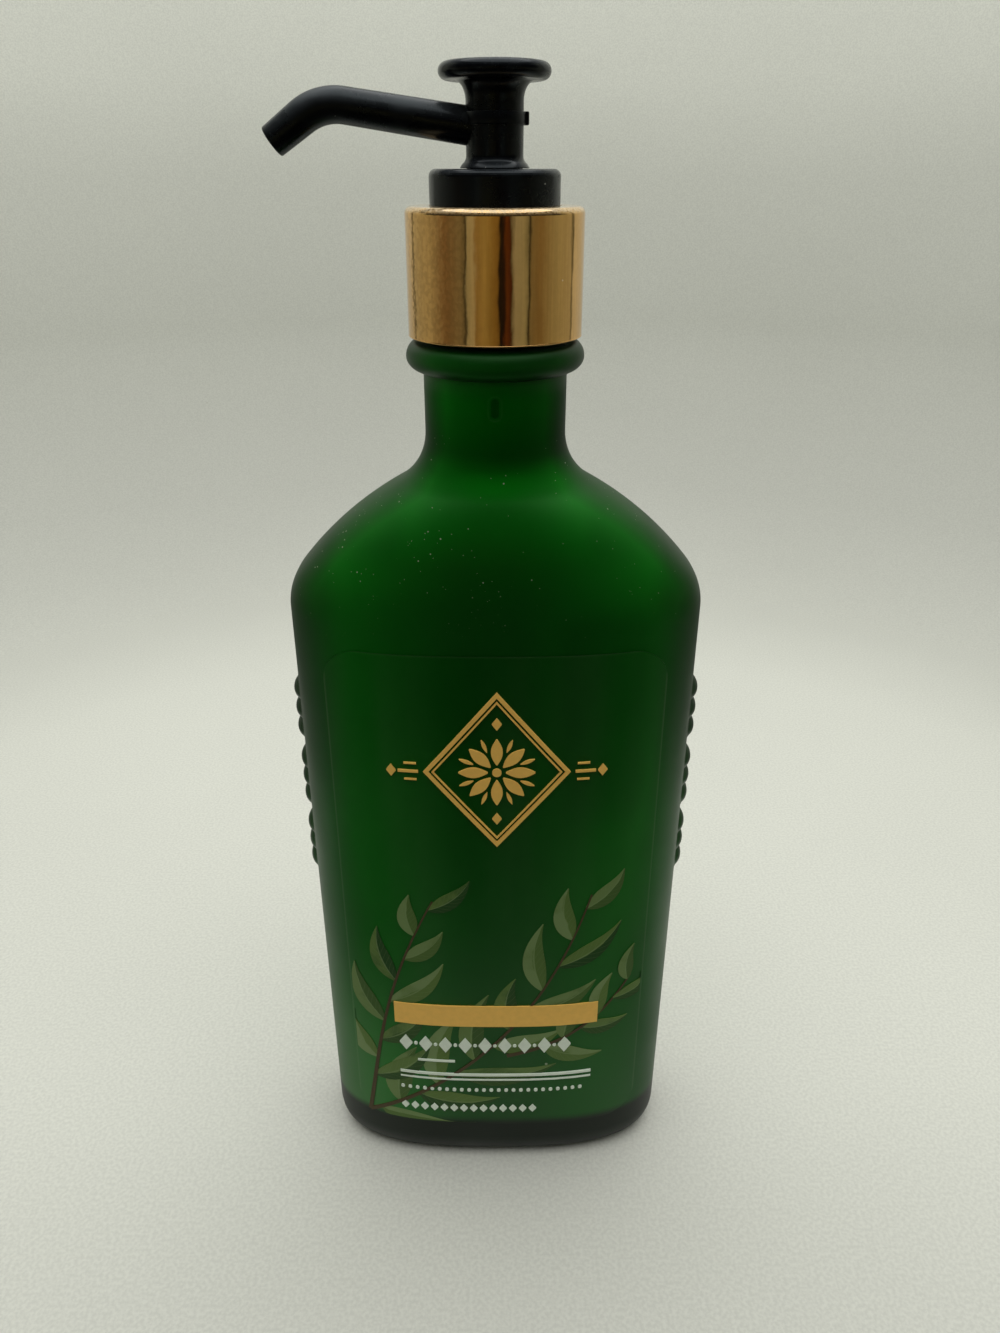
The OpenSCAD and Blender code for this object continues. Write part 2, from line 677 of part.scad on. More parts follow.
// The spout's form: a tapered run, a bend and a tapered tip, which reach over by more at both ends
module spout_form(root_d, bend_d, tip_d, over, sides) {
    turn = spout_rise + spout_fall;
    along_spout() loft(concat([spout_ring(0, -spout_run - over, root_d/2, sides)],
        [for (i = [0:BEND_STEPS]) spout_ring(turn*i/BEND_STEPS, 0, bend_d/2, sides)],
        [spout_ring(turn, spout_drop + over, tip_d/2, sides)]));
}

// The spout, with a spigot in the hub's side port and a strap that closes in a clasp behind the hub
module spout() {
    hub_r = hub_d/2 + seat;
    strap_bottom = collar_top_z + strap_z;
    color([0.03, 0.03, 0.035]) difference() {
        union() {
            difference() {
                union() {
                    spout_form(spout_root_d, spout_bend_d, spout_tip_d, 0, SPOUT_SIDES);
                    rod(hub_r + strap_t, strap_bottom, strap_bottom + strap_h);
                    translate([0, -clasp_w/2, strap_bottom]) cube([hub_r + clasp_out, clasp_w, strap_h]);
                }
                rod(hub_r, collar_top_z, head_top_z);
            }
            along_spout() translate([0, 0, stem_bore/2]) cylinder(d = spigot_d, h = hub_d/2);
        }
        spout_form(spout_bore, spout_bore, spout_bore, LAP, BORE_SIDES);
    }
}

bottle();
front_label();
screw_cap();
closure_shell();
neck_gasket();
pump_housing();
dip_tube();
lock_collar();
ball_cage();
inlet_ball();
return_spring();
piston();
stem();
valve_plug();
outlet_ball();
pump_head();
spout();
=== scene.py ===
import math

import bpy
import numpy as np
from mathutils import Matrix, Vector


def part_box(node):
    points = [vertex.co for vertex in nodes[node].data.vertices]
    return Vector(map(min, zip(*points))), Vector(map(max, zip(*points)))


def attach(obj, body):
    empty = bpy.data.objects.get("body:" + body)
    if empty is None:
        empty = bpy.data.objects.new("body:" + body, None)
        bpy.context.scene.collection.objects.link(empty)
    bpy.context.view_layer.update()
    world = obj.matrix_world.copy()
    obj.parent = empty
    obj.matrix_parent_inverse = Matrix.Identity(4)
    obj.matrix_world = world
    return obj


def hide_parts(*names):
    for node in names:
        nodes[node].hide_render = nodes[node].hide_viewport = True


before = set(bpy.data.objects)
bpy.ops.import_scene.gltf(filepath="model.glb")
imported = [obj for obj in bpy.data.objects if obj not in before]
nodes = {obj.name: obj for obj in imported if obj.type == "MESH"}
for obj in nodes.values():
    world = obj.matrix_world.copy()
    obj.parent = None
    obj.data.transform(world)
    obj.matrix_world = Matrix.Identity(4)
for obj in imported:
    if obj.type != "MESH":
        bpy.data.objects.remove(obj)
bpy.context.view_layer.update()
scene = bpy.context.scene
scene.view_settings.view_transform = "Standard"


# --- Camera ---
# A short lens looks down on the front of the bottle from close by, a little above the head's height.

LENS = 27.0
SENSOR = 36.0
CAMERA_PLACE = (0.0007, -0.1506, 0.178)
LOOK_DOWN = 26.56

camera_data = bpy.data.cameras.new("camera")
camera_data.lens = LENS
camera_data.sensor_width = SENSOR
camera_data.clip_start = 0.01
camera_data.clip_end = 20.0
camera = bpy.data.objects.new("camera", camera_data)
camera.location = CAMERA_PLACE
camera.rotation_euler = (math.radians(90.0 - LOOK_DOWN), 0.0, 0.0)
scene.collection.objects.link(camera)
scene.camera = camera


# --- Paper sweep and light ---
# A round sweep of pale paper: flat where the bottle stands, and curved up all round into a wall. The
# wall hides the horizon. One wide, soft lamp hangs over it, and the open top lets in plain daylight.

MM = 0.001
SHARP_FROM = 38.0  # degrees between faces
PAPER_COLOUR = (0.655, 0.664, 0.605)
PAPER_SPECK = (0.30, 0.29, 0.22)
# The painted light along the sweep: metres from the middle and up the wall, and the share there
FALL_OFF = [(0.0, 1.0), (0.12, 1.02), (0.22, 0.98), (0.28, 0.87), (0.34, 0.81), (0.40, 0.785),
            (0.46, 0.82), (0.53, 0.90), (0.60, 0.95), (0.63, 1.03), (0.65, 1.10), (0.69, 1.15)]
# The ramp's top, and the lower share in front of the bottle for its painted shade
RAMP_TOP, NEAR_LIGHT = 1.2, 1.11
PAPER_FLAT_R, PAPER_BEND_R = 290.0, 130.0
PAPER_WALL_TOP, PAPER_WALL_LEAN = 560.0, 60.0
PAPER_SEGMENTS = 96
LAMP_PLACE, LAMP_SIZE, LAMP_WATTS = (0.04, 0.05, 1.2), 1.6, 11.5
LAMP_COLOUR = (1.0, 0.99, 0.96)
SKY = (0.62, 0.63, 0.645)
SKY_MIRRORED_BACK = (0.55, 0.56, 0.56)
SKY_MIRRORED_FRONT = (0.02, 0.02, 0.02)
SKY_SEEN = (0.50, 0.51, 0.44)
# Painted light and shade on the paper for all but the eye's rays: the dark of the room, the dimmed front
# for the light thrown back, and the paper close by and the far floor as reflections show them
ROOM_DARK = (0.03, 0.03, 0.03)
FRONT_DIM = 0.12
PAPER_MIRRORED = (0.56, 0.57, 0.52)
FLOOR_FAR = (0.36, 0.38, 0.35)
PALE = (1.0, 1.0, 1.0)
# Where the room changes: heights and distances in metres, bearings in turns from straight ahead
ROOM_SILL, ROOM_LINTEL, ROOM_FOOT = (0.040, 0.060), (0.215, 0.195), (0.0, 0.03)
ROOM_AHEAD, FLOOR_AHEAD, DIM_AHEAD = (0.30, 0.24), (0.26, 0.15), (0.19, 0.09)
FLOOR_FRONT, FLOOR_SIDE, DIM_FROM, PAPER_CLOSE = (0.03, 0.085), (0.12, 0.26), (0.06, 0.15), (0.1, 0.05)


def pairs(first, second):
    """Points from two rows of numbers; one number alone stands for a row of it."""
    return np.stack(np.broadcast_arrays(first, second), axis=-1)


def arc(x, z, radius, start, end, steps):
    """Points on a circle about (x, z), from one angle in degrees to another, without the first."""
    q = np.radians(start + (end - start) * np.arange(1, steps + 1) / steps)
    return pairs(x + radius * np.cos(q), z + radius * np.sin(q))


def turned(profile, segments):
    """Rings of a turned form: each (radius, height) of the profile carried once round the Z axis."""
    radius, z = profile[:, :1], np.repeat(profile[:, 1:], segments, axis=1)
    turn = 2 * np.pi * np.arange(segments) / segments
    return np.stack([radius * np.cos(turn), radius * np.sin(turn), z], axis=2)


def surface(name, lofts, skin, ends="capped", attributes=None):
    """One mesh from lofts, each an array of rings of points in millimetres, with one material.

    Neighbouring points along a ring and across to the next ring are joined by quads. Each end ring is
    closed by a fan about its middle, joined to the other end, or left open. An attribute holds one
    number, or a pair for a UV map, for each point of each ring.
    """
    given = {"": lofts, **(attributes or {})}
    columns, faces, start = {key: [] for key in given}, [], 0
    for which, rings in enumerate(lofts):
        count, sides = rings.shape[:2]
        index = start + np.arange(count * sides).reshape(count, sides)
        onward = np.roll(index, -1, axis=1)
        upper, upper_onward = np.roll(index, -1, axis=0), np.roll(onward, -1, axis=0)
        quads = np.stack([index, onward, upper_onward, upper], axis=-1)
        faces += quads[:count if ends == "joined" else -1].reshape(-1, 4).tolist()
        for key, values in given.items():
            ringed = values[which].reshape(count, sides, -1)
            columns[key].append(ringed.reshape(count * sides, -1))
            if ends == "capped":
                columns[key].append(ringed[[0, -1]].mean(axis=1))
        start += count * sides
        if ends == "capped":
            middles = np.repeat([[start], [start + 1]], sides, axis=1)
            faces += np.stack([middles[0], onward[0], index[0]], axis=-1).tolist()
            faces += np.stack([middles[1], index[-1], onward[-1]], axis=-1).tolist()
            start += 2
    mesh = bpy.data.meshes.new(name)
    mesh.from_pydata(np.concatenate(columns.pop("")) * MM, [], faces)
    mesh.shade_smooth()
    mesh.set_sharp_from_angle(angle=math.radians(SHARP_FROM))
    corner_points = np.zeros(len(mesh.loops), np.int32)
    mesh.loops.foreach_get("vertex_index", corner_points)
    for key, stacked in columns.items():
        column = np.concatenate(stacked)
        if column.shape[1] == 2:
            layer = mesh.uv_layers.new(name=key)
            layer.data.foreach_set("uv", column[corner_points].astype(np.float32).ravel())
        else:
            layer = mesh.attributes.new(key, "FLOAT", "POINT")
            layer.data.foreach_set("value", column.astype(np.float32).ravel())
    mesh.materials.append(skin)
    made = bpy.data.objects.new(name, mesh)
    scene.collection.objects.link(made)
    return made


def feed(node, inputs=None, **named):
    """Feeds inputs of a shader node, each with a socket to link from or with a value. In a name, _ stands
    for a space."""
    named = {key.replace("_", " "): value for key, value in named.items()}
    for key, value in {**(inputs or {}), **named}.items():
        if isinstance(value, bpy.types.NodeSocket):
            node.id_data.links.new(value, node.inputs[key])
        else:
            node.inputs[key].default_value = value


def add(kind, inputs=None, tree=None, **settings):
    """Adds a shader node to the given tree, or to the tree of a socket that feeds it."""
    inputs = inputs or {}
    trees = [value.id_data for value in inputs.values() if isinstance(value, bpy.types.NodeSocket)]
    made = (tree or trees[0]).nodes.new("ShaderNode" + kind)
    for key, value in settings.items():
        setattr(made, key, value)
    feed(made, inputs)
    return made


def math_node(operation, first, second=0.0, third=0.0):
    """The result of one Math node."""
    return add("Math", {0: first, 1: second, 2: third}, operation=operation).outputs[0]


def off(value, middle):
    """How far a value is from a middle, as a positive number."""
    return math_node("ABSOLUTE", math_node("SUBTRACT", value, middle))


def product(first, *others):
    """The product of two or more values."""
    for other in others:
        first = math_node("MULTIPLY", first, other)
    return first


def axes_of(vector):
    """The x, y and z of a vector."""
    return add("SeparateXYZ", {0: vector}).outputs[:3]


def length_of(vector):
    """The length of a vector."""
    return add("VectorMath", {0: vector}, operation="LENGTH").outputs["Value"]


def noise(place, scale, detail, **inputs):
    """A noise texture's value."""
    return add("TexNoise", {"Vector": place, "Scale": scale, "Detail": detail, **inputs}).outputs[0]


def scaled(colour, share):
    """A colour times a share."""
    return tuple(share * c for c in colour)


def dimmed(colour, gain):
    """A colour socket times a value."""
    return add("VectorMath", {0: colour, "Scale": gain}, operation="SCALE").outputs[0]


def colour_mix(factor, first, second, blend="MIX"):
    """The result of one colour Mix node; colours are sockets or (r, g, b)."""
    sides = [c if isinstance(c, bpy.types.NodeSocket) else (*c, 1.0) for c in (first, second)]
    mixed = add("Mix", {0: factor, 6: sides[0], 7: sides[1]}, data_type="RGBA", blend_type=blend)
    return mixed.outputs[2]


def span(value, low, high, to_low=0.0, to_high=1.0):
    """Maps low to high smoothly onto to_low to to_high, held at both ends."""
    inputs = {"Value": value, "From Min": low, "From Max": high, "To Min": to_low, "To Max": to_high}
    return add("MapRange", inputs, interpolation_type="SMOOTHSTEP").outputs[0]


def ramp(factor, stops):
    """A colour ramp through (place, (r, g, b)) stops."""
    made = add("ValToRGB", {"Fac": factor})
    elements = made.color_ramp.elements
    while len(elements) < len(stops):
        elements.new(0.5)
    for element, (place, colour) in zip(elements, stops):
        element.position = place
        element.color = (*colour, 1.0)
    return made.outputs[0]


def material(name, colour, roughness, **sockets):
    """A Principled material. Returns it with its shader and its object coordinates."""
    made = bpy.data.materials.new(name)
    made.use_nodes = True
    shader = made.node_tree.nodes["Principled BSDF"]
    feed(shader, Base_Color=(*colour, 1.0), Roughness=roughness, **sockets)
    return made, shader, add("TexCoord", tree=made.node_tree).outputs["Object"]


def dust(place, spacing, size, share):
    """A factor that is 1 on small specks: cells of the given spacing in metres, of which the given
    share hold one round speck."""
    cells = add("TexVoronoi", {"Vector": place, "Scale": 1.0 / spacing})
    near = math_node("LESS_THAN", cells.outputs["Distance"], size / spacing)
    lucky = math_node("LESS_THAN", cells.outputs["Color"], share)
    return product(near, lucky)


def paper_seen(place):
    """The paper as the eye sees it: faint mottling, grain and specks, with painted shade along the sweep
    where the light falls off, and painted shade that makes it a little darker in front of the bottle."""
    mottling = noise(place, 9.0, 5.0)
    seen = colour_mix(span(mottling, 0.3, 0.7, 0.0, 0.35), PAPER_COLOUR, scaled(PAPER_COLOUR, 0.93))
    _, back, height = axes_of(place)
    level = add("VectorMath", {0: place, 1: (1.0, 1.0, 0.0)}, operation="MULTIPLY").outputs[0]
    sweep = math_node("ADD", length_of(level), height)
    # Painted light that falls off along the sweep
    light = ramp(sweep, [(run, scaled(PALE, share / RAMP_TOP)) for run, share in FALL_OFF])
    grain = noise(place, 1500.0, 2.0)
    # Painted shade, a little darker in front of the bottle
    near = product(span(back, 0.01, -0.05, RAMP_TOP, NEAR_LIGHT), span(grain, 0.3, 0.7, 0.94, 1.06))
    seen = colour_mix(1.0, seen, dimmed(light, near), "MULTIPLY")
    specks = dust(place, 0.017, 0.00035, 0.2)
    return colour_mix(product(specks, 0.4), seen, PAPER_SPECK)


def paper_material():
    """Pale matt paper. All that isn't seen by the camera directly sees painted light and shade, standing
    in
    for a tent with an open front in a room: the paper is painted darker out in front, more so with the
    distance, both for the light it throws back and for what reflections show, and its wall has painted
    upright bands of light and dark that a room behind the camera would give."""
    made, shader, place = material("paper", PAPER_COLOUR, 0.85, Specular_IOR_Level=0.2)
    seen = paper_seen(place)
    across, back, height = axes_of(place)
    distance = length_of(place)
    bearing = math_node("ARCTAN2", across, product(back, -1.0))
    bearing = math_node("MULTIPLY_ADD", bearing, 0.5 / math.pi, 0.5)
    aside = off(bearing, 0.5)
    # Painted reflections of a room: bands of light and dark on the wall, and painted shade on the floor
    # out in front
    level = product(span(height, *ROOM_SILL), span(height, *ROOM_LINTEL))
    shut = product(span(aside, *ROOM_AHEAD), math_node("SUBTRACT", 1.0, level))
    bands = colour_mix(shut, ramp(bearing, ROOM_BANDS), ROOM_DARK)
    far_front = product(span(aside, *FLOOR_AHEAD), span(distance, *FLOOR_FRONT))
    far_side = colour_mix(span(distance, *FLOOR_SIDE), PALE, FLOOR_FAR)
    floor = colour_mix(far_front, far_side, ROOM_DARK)
    room = colour_mix(span(height, *ROOM_FOOT), floor, bands)
    close = colour_mix(span(distance, *PAPER_CLOSE), seen, PAPER_MIRRORED)
    mirrored = colour_mix(1.0, close, room, "MULTIPLY")
    # Painted shade on the light that the paper throws back from in front
    dim = product(span(aside, *DIM_AHEAD), span(distance, *DIM_FROM))
    lighting = colour_mix(dim, seen, scaled(PAPER_COLOUR, FRONT_DIM))
    rays = add("LightPath", tree=shader.id_data).outputs
    lighting = colour_mix(rays["Is Glossy Ray"], lighting, mirrored)
    feed(shader, Base_Color=colour_mix(rays["Is Camera Ray"], lighting, seen))
    return made


# The room's bands, painted on the paper for reflections: a bearing in degrees from straight ahead,
# positive to the right, and the light there
ROOM_LIGHT = [
    (-180, PALE), (-131, PALE), (-127, (0.20, 0.20, 0.17)), (-123, (0.82, 0.82, 0.76)),
    (-109, (0.73, 0.72, 0.66)), (-89, (0.69, 0.66, 0.58)), (-65, (0.36, 0.26, 0.18)),
    (-44, (0.39, 0.36, 0.29)), (-39.5, (0.30, 0.28, 0.22)), (-37, (0.01, 0.01, 0.01)),
    (-34.5, (0.62, 0.64, 0.60)), (-26, (0.72, 0.72, 0.66)), (-23, (0.50, 0.38, 0.20)),
    (-13, (0.62, 0.52, 0.26)), (-1, (0.44, 0.32, 0.12)), (4, (0.36, 0.24, 0.08)),
    (6.5, (0.015, 0.01, 0.01)), (11, (0.03, 0.015, 0.01)), (14, (0.20, 0.06, 0.01)),
    (20, (0.10, 0.03, 0.01)), (22, (0.30, 0.30, 0.28)), (25, (0.62, 0.64, 0.64)),
    (38, (0.57, 0.60, 0.54)), (41.5, (0.40, 0.42, 0.36)), (43.5, (0.01, 0.01, 0.01)),
    (46, (0.38, 0.34, 0.24)), (58, (0.39, 0.305, 0.18)), (81, (0.61, 0.60, 0.49)),
    (112, (0.70, 0.69, 0.62)), (116, (0.15, 0.15, 0.13)), (120, PALE), (180, PALE),
]
ROOM_BANDS = [(0.5 + degrees / 360.0, colour) for degrees, colour in ROOM_LIGHT]

wall_angle = math.degrees(math.atan2(PAPER_WALL_LEAN, PAPER_WALL_TOP - PAPER_BEND_R))
paper_profile = np.concatenate([
    [[PAPER_FLAT_R + PAPER_BEND_R + PAPER_WALL_LEAN, PAPER_WALL_TOP]],
    arc(PAPER_FLAT_R, PAPER_BEND_R, PAPER_BEND_R, -wall_angle, -90.0, 24),
    [[radius, 0.0] for radius in (240.0, 180.0, 120.0, 60.0, 20.0, 0.5)],
])
paper = surface("paper_sweep", [turned(paper_profile, PAPER_SEGMENTS)], paper_material(), "open")

lamp_data = bpy.data.lights.new("lamp", "AREA")
lamp_data.shape = "DISK"
lamp_data.size = LAMP_SIZE
lamp_data.energy = LAMP_WATTS
lamp_data.color = LAMP_COLOUR
lamp = bpy.data.objects.new("lamp", lamp_data)
lamp.location = LAMP_PLACE
lamp_x, lamp_y, lamp_z = LAMP_PLACE
lamp.rotation_euler = (-math.atan2(lamp_y, lamp_z), math.atan2(lamp_x, lamp_z), 0.0)
scene.collection.objects.link(lamp)

world = bpy.data.worlds.new("daylight")
world.use_nodes = True
scene.world = world
sky = world.node_tree
sky_rays = add("LightPath", tree=sky).outputs
sky_way = axes_of(add("TexCoord", tree=sky).outputs["Generated"])[1]
mirrored_sky = colour_mix(span(sky_way, -0.1, 0.6), SKY_MIRRORED_FRONT, SKY_MIRRORED_BACK)
daylight = colour_mix(sky_rays["Is Glossy Ray"], SKY, mirrored_sky)
sky_colour = colour_mix(sky_rays["Is Camera Ray"], daylight, SKY_SEEN)
feed(sky.nodes["Background"], Color=sky_colour)


# --- Flask ---
# One blow-moulded shell of deep green plastic with a frosted outside: a flat body with a rounded heel,
# grip lobes down its narrow sides, a domed shoulder, a neck with a bead, and a threaded finish.

# Lengths in millimetres, leans in degrees
WALL = 1.2
BODY_A, BODY_B = 32.9, 15.3
SIDE_H, SIDE_TAPER, SQUARENESS = 115.6, 0.4, 2.7
HEEL_H, HEEL_SIDE, HEEL_FRONT, RIM_W, BASE_RISE = 6.0, 3.7, 3.4, 3.0, 1.0
SHOULDER_R, LEAN_LOW, LEAN_HIGH, FILLET_R = 9.7, 39.0, 60.5, 8.9
NECK_R, NECK_H, BEAD_R, BEAD_UNDER, BEAD_OUT = 10.5, 10.8, 2.4, 2.0, 12.95
FINISH_R, FINISH_H, FINISH_BORE_R, LIP_R = 9.1, 13.3, 7.3, 0.5
MARK_W, MARK_H, MARK_DEPTH = 1.8, 3.3, 0.3
LOBE_GROUPS, LOBES_IN_GROUP = 3, 3
LOBE_PITCH, LOBE_GROUP_PITCH, LOBE_DROP = 3.65, 13.6, 16.2
LOBE_LEN, LOBE_R, LOBE_PROUD = 9.5, 2.2, 1.3
LOBES_FROM, LOBES_TO, LOBE_ROW, LOBE_ZONE = 60.0, 102.0, 0.3, (55.0, 105.0)
THREAD_H, THREAD_PITCH, THREAD_TURNS, THREAD_W = 0.75, 3.2, 1.6, 1.5
THREAD_START, THREAD_FADE = 3.4, 0.08
GREEN_HUE = (0.006, 1.0, 0.02)
# Height in metres and the depth of the green there, with painted light and shade in it, or the gloss there
GREEN_LIGHT_BY_HEIGHT = [(0.014, 0.060), (0.035, 0.060), (0.066, 0.072), (0.080, 0.072), (0.100, 0.060),
                   (0.113, 0.062), (0.119, 0.064), (0.126, 0.076), (0.131, 0.108), (0.1345, 0.125),
                   (0.137, 0.145), (0.139, 0.105), (0.141, 0.064), (0.1428, 0.076), (0.146, 0.100),
                   (0.149, 0.140), (0.151, 0.165), (0.1517, 0.095), (0.152, 0.085), (0.156, 0.04)]
HEIGHT_SPAN = 0.2
# Painted shade on faces turned from the eye: Layer Weight's facing, and the share of the green there
SLANT_SHADE_GAIN = [(0.0, 0.8), (0.3, 1.0), (0.4, 0.74), (0.5, 0.56), (0.62, 0.44), (0.75, 0.36), (0.9, 0.28)]
# Parts of the wall with painted shade, which show less green: the share there, and where each part fades
# in, in metres
ROUND_SIDE_SHADE = (0.58, ("reach", 0.021, 0.029), ("height", 0.06, 0.112))
SHOULDER_SIDE_SHADE = (0.74, ("reach", 0.010, 0.017), ("height", 0.123, 0.130))
RIGHT_FLANK_SHADE = (0.72, ("across", 0.006, 0.014), ("across", 0.027, 0.021), ("height", 0.122, 0.115),
               ("height", 0.070, 0.090))
# Where painted light and shade change the green over a distance: from and to in metres, and the shares
# there
LIGHT_TO_THE_SIDES = (0.002, 0.024, 1.0, 2.0)
NARROW_SIDE_SHADE = (0.0318, 0.0332, 1.0, 0.35)
NECK_LIGHT_ACROSS = (-0.004, 0.009, 1.05, 0.55)
FILLET_HIGHLIGHT_ACROSS = (0.001, 0.009, 1.35, 0.85)
NECK_FROM, FILLET_FROM, FILLET_TO = (0.1375, 0.141), (0.134, 0.1365), (0.1395, 0.138)
# A painted window light low on the left: where it fades across and up, in metres, and its gain
WINDOW_ACROSS, WINDOW_HEIGHT, WINDOW_LIGHT_GAIN = (0.0, -0.03), (0.06, 0.02), (0.96, 1.8)
# A pale colour for specks of dust, and for painted sheen and highlights; the painted window sheen's share
# and where it fades across
PALE_DUST_AND_SHEEN, WINDOW_SHEEN, WINDOW_SHEEN_ACROSS = (0.28, 0.33, 0.22), 0.045, (-0.018, -0.028)
HEEL_BLACK, HEEL_TOP = (0.0005, 0.0014, 0.0008), (0.0098, 0.0122)
# Shares of the painted shade in the mark's hollow and of the painted highlight on its rim
MARK_PAINTED_SHADE, MARK_RIM_HIGHLIGHT = 0.4, 0.02
# Where the mark's hollow, its rim and the rim's outside fade, in widths of the mark from its middle
MARK_FADES = [(0.40, 0.25), (0.44, 0.50), (0.64, 0.56)]
GLOSS_BY_HEIGHT = [(0.045, 0.60), (0.075, 0.42), (0.105, 0.30), (0.134, 0.28), (0.139, 0.12),
                   (0.143, 0.06), (0.149, 0.06), (0.1515, 0.30)]
SHEEN_GREEN, SHEEN_HEEL = (0.40, 1.0, 0.42), (0.38, 0.50, 0.38)
DUSTY_FROM, DUSTY_TO = (0.112, 0.127), (0.146, 0.138)

lean_low, lean_high = math.radians(LEAN_LOW), math.radians(LEAN_HIGH)
dome_width = BODY_A - NECK_R - SHOULDER_R * (1 - math.cos(lean_low)) - FILLET_R * (1 - math.cos(lean_high))
DOME_R = dome_width / (math.cos(lean_low) - math.cos(lean_high))
FILLET_Z = SIDE_H + SHOULDER_R * math.sin(lean_low) + DOME_R * (math.sin(lean_high) - math.sin(lean_low))
NECK_Z = FILLET_Z + FILLET_R * math.sin(lean_high)
BEAD_Z = NECK_Z + NECK_H
FINISH_Z = BEAD_Z + BEAD_R + FINISH_H
MARK_Z = BEAD_Z - BEAD_R - MARK_H
FLOOR_Z = BASE_RISE + WALL


def superellipse(turn, a, b, squareness):
    """Points of |x/a|^n + |y/b|^n = 1: the cosine and the sine of the turn, each to the power 2/n with
    its sign kept, times the half-widths a and b."""
    x = a * np.sign(np.cos(turn)) * np.abs(np.cos(turn)) ** (2 / squareness)
    y = b * np.sign(np.sin(turn)) * np.abs(np.sin(turn)) ** (2 / squareness)
    return x, y


def side_halves(z, inset=0.0):
    """Half-width and half-depth of the straight sides, which lean in towards the foot, less an inset."""
    lean = SIDE_TAPER * (1 - z / SIDE_H)
    return BODY_A - lean - inset, BODY_B - lean - inset


def rows(z, a, b, squareness):
    """Rows of height, half-width, half-depth and squareness, one for each ring."""
    return np.stack(np.broadcast_arrays(np.atleast_1d(z), a, b, squareness), axis=1).astype(float)


def heel(floor, inset, steps):
    """The heel's quarter ellipse, from the floor up to the heel's height, drawn in by the inset."""
    q = np.radians(np.linspace(0, 90, steps))
    z = floor + (HEEL_H - floor) * (1 - np.cos(q))
    a, b = side_halves(z, inset)
    return rows(z, a - HEEL_SIDE * (1 - np.sin(q)), b - HEEL_FRONT * (1 - np.sin(q)), SQUARENESS)


def sides(z, inset):
    """The straight sides at the heights z."""
    return rows(z, *side_halves(z, inset), SQUARENESS)


def shoulder(inset, steps):
    """Corner arc, dome arc and neck fillet, each tangent to the next. The section runs from the body's
    superellipse to the neck's circle as the shoulder closes in."""
    corner_x = BODY_A - SHOULDER_R
    dome_x = corner_x + (SHOULDER_R - DOME_R) * math.cos(lean_low)
    dome_z = SIDE_H + (SHOULDER_R - DOME_R) * math.sin(lean_low)
    path = np.concatenate([
        arc(corner_x, SIDE_H, SHOULDER_R - inset, 0, LEAN_LOW, steps),
        arc(dome_x, dome_z, DOME_R - inset, LEAN_LOW, LEAN_HIGH, 2 * steps),
        arc(NECK_R + FILLET_R, NECK_Z, FILLET_R + inset, 180 + LEAN_HIGH, 180, steps)])
    grow = (path[:, 0] - NECK_R + inset) / (BODY_A - NECK_R)
    b = NECK_R - inset + (BODY_B - NECK_R) * (1 - (1 - grow) ** 2)
    return rows(path[:, 1], path[:, 0], b, 2 + (SQUARENESS - 2) * grow)


def round_rows(path):
    """Rows of the round neck and finish, from (radius, height) points."""
    path = np.asarray(path, float)
    return rows(path[:, 1], path[:, 0], path[:, 0], 2.0)


def with_lobes(x, y, z):
    """Raises the grip lobes on the narrow sides. A lobe is a spindle lying front to back, turned from
    one arc; where it stands proud of the wall, |x| takes the larger of the two, rounded in the valley."""
    arc_r = (LOBE_LEN ** 2 / 4 + LOBE_R ** 2) / (2 * LOBE_R)
    girth = np.sqrt(np.maximum(arc_r ** 2 - y ** 2, 0)) - (arc_r - LOBE_R)
    reach = np.abs(x)
    round_off = 0.25
    for group in range(LOBE_GROUPS):
        for lobe in range(LOBES_IN_GROUP):
            lobe_z = SIDE_H - LOBE_DROP - group * LOBE_GROUP_PITCH - lobe * LOBE_PITCH
            inside = girth ** 2 - (z - lobe_z) ** 2
            crest = side_halves(lobe_z)[0] + LOBE_PROUD - LOBE_R + np.sqrt(np.maximum(inside, 0))
            crest = np.where((inside > 0) & (girth > 0), crest, 0.0)
            near = np.maximum(round_off - np.abs(crest - reach), 0) / round_off
            reach = np.maximum(crest, reach) + near ** 2 * round_off / 4
    return np.sign(x) * reach


def with_mark(x, y, z):
    """Presses the oblong index mark into the front of the neck: every point within its outline moves
    back by the mark's depth, with a soft edge."""
    along = np.maximum(np.abs(z - MARK_Z) - (MARK_H - MARK_W) / 2, 0)
    edge = MARK_W / 2 - np.hypot(x, along)
    press = MARK_DEPTH * np.clip(edge / 0.25, 0, 1)
    return np.where(y < 0, y + press, y)


def with_thread(x, y, z):
    """Winds the thread round the finish: a rounded ridge whose height above the start grows with the
    turn, faded out at both ends."""
    turn = np.mod(np.arctan2(y, x), 2 * np.pi) / (2 * np.pi)
    start = BEAD_Z + BEAD_R + THREAD_START
    ridge = np.zeros_like(x)
    for winding in range(3):
        wound = turn + winding
        middle = start + THREAD_PITCH * wound
        fade = np.clip(wound / THREAD_FADE, 0, 1) * np.clip((THREAD_TURNS - wound) / THREAD_FADE, 0, 1)
        proud = np.clip(1.4 - 2.8 * np.abs(z - middle) / THREAD_W, 0, 1)
        ridge = np.maximum(ridge, fade * THREAD_H * proud)
    radius = np.hypot(x, y)
    on_finish = (z > BEAD_Z + BEAD_R + 0.5) & (radius > FINISH_R - 0.05)
    grown = 1 + np.where(on_finish, ridge, 0.0) / radius
    return x * grown, y * grown


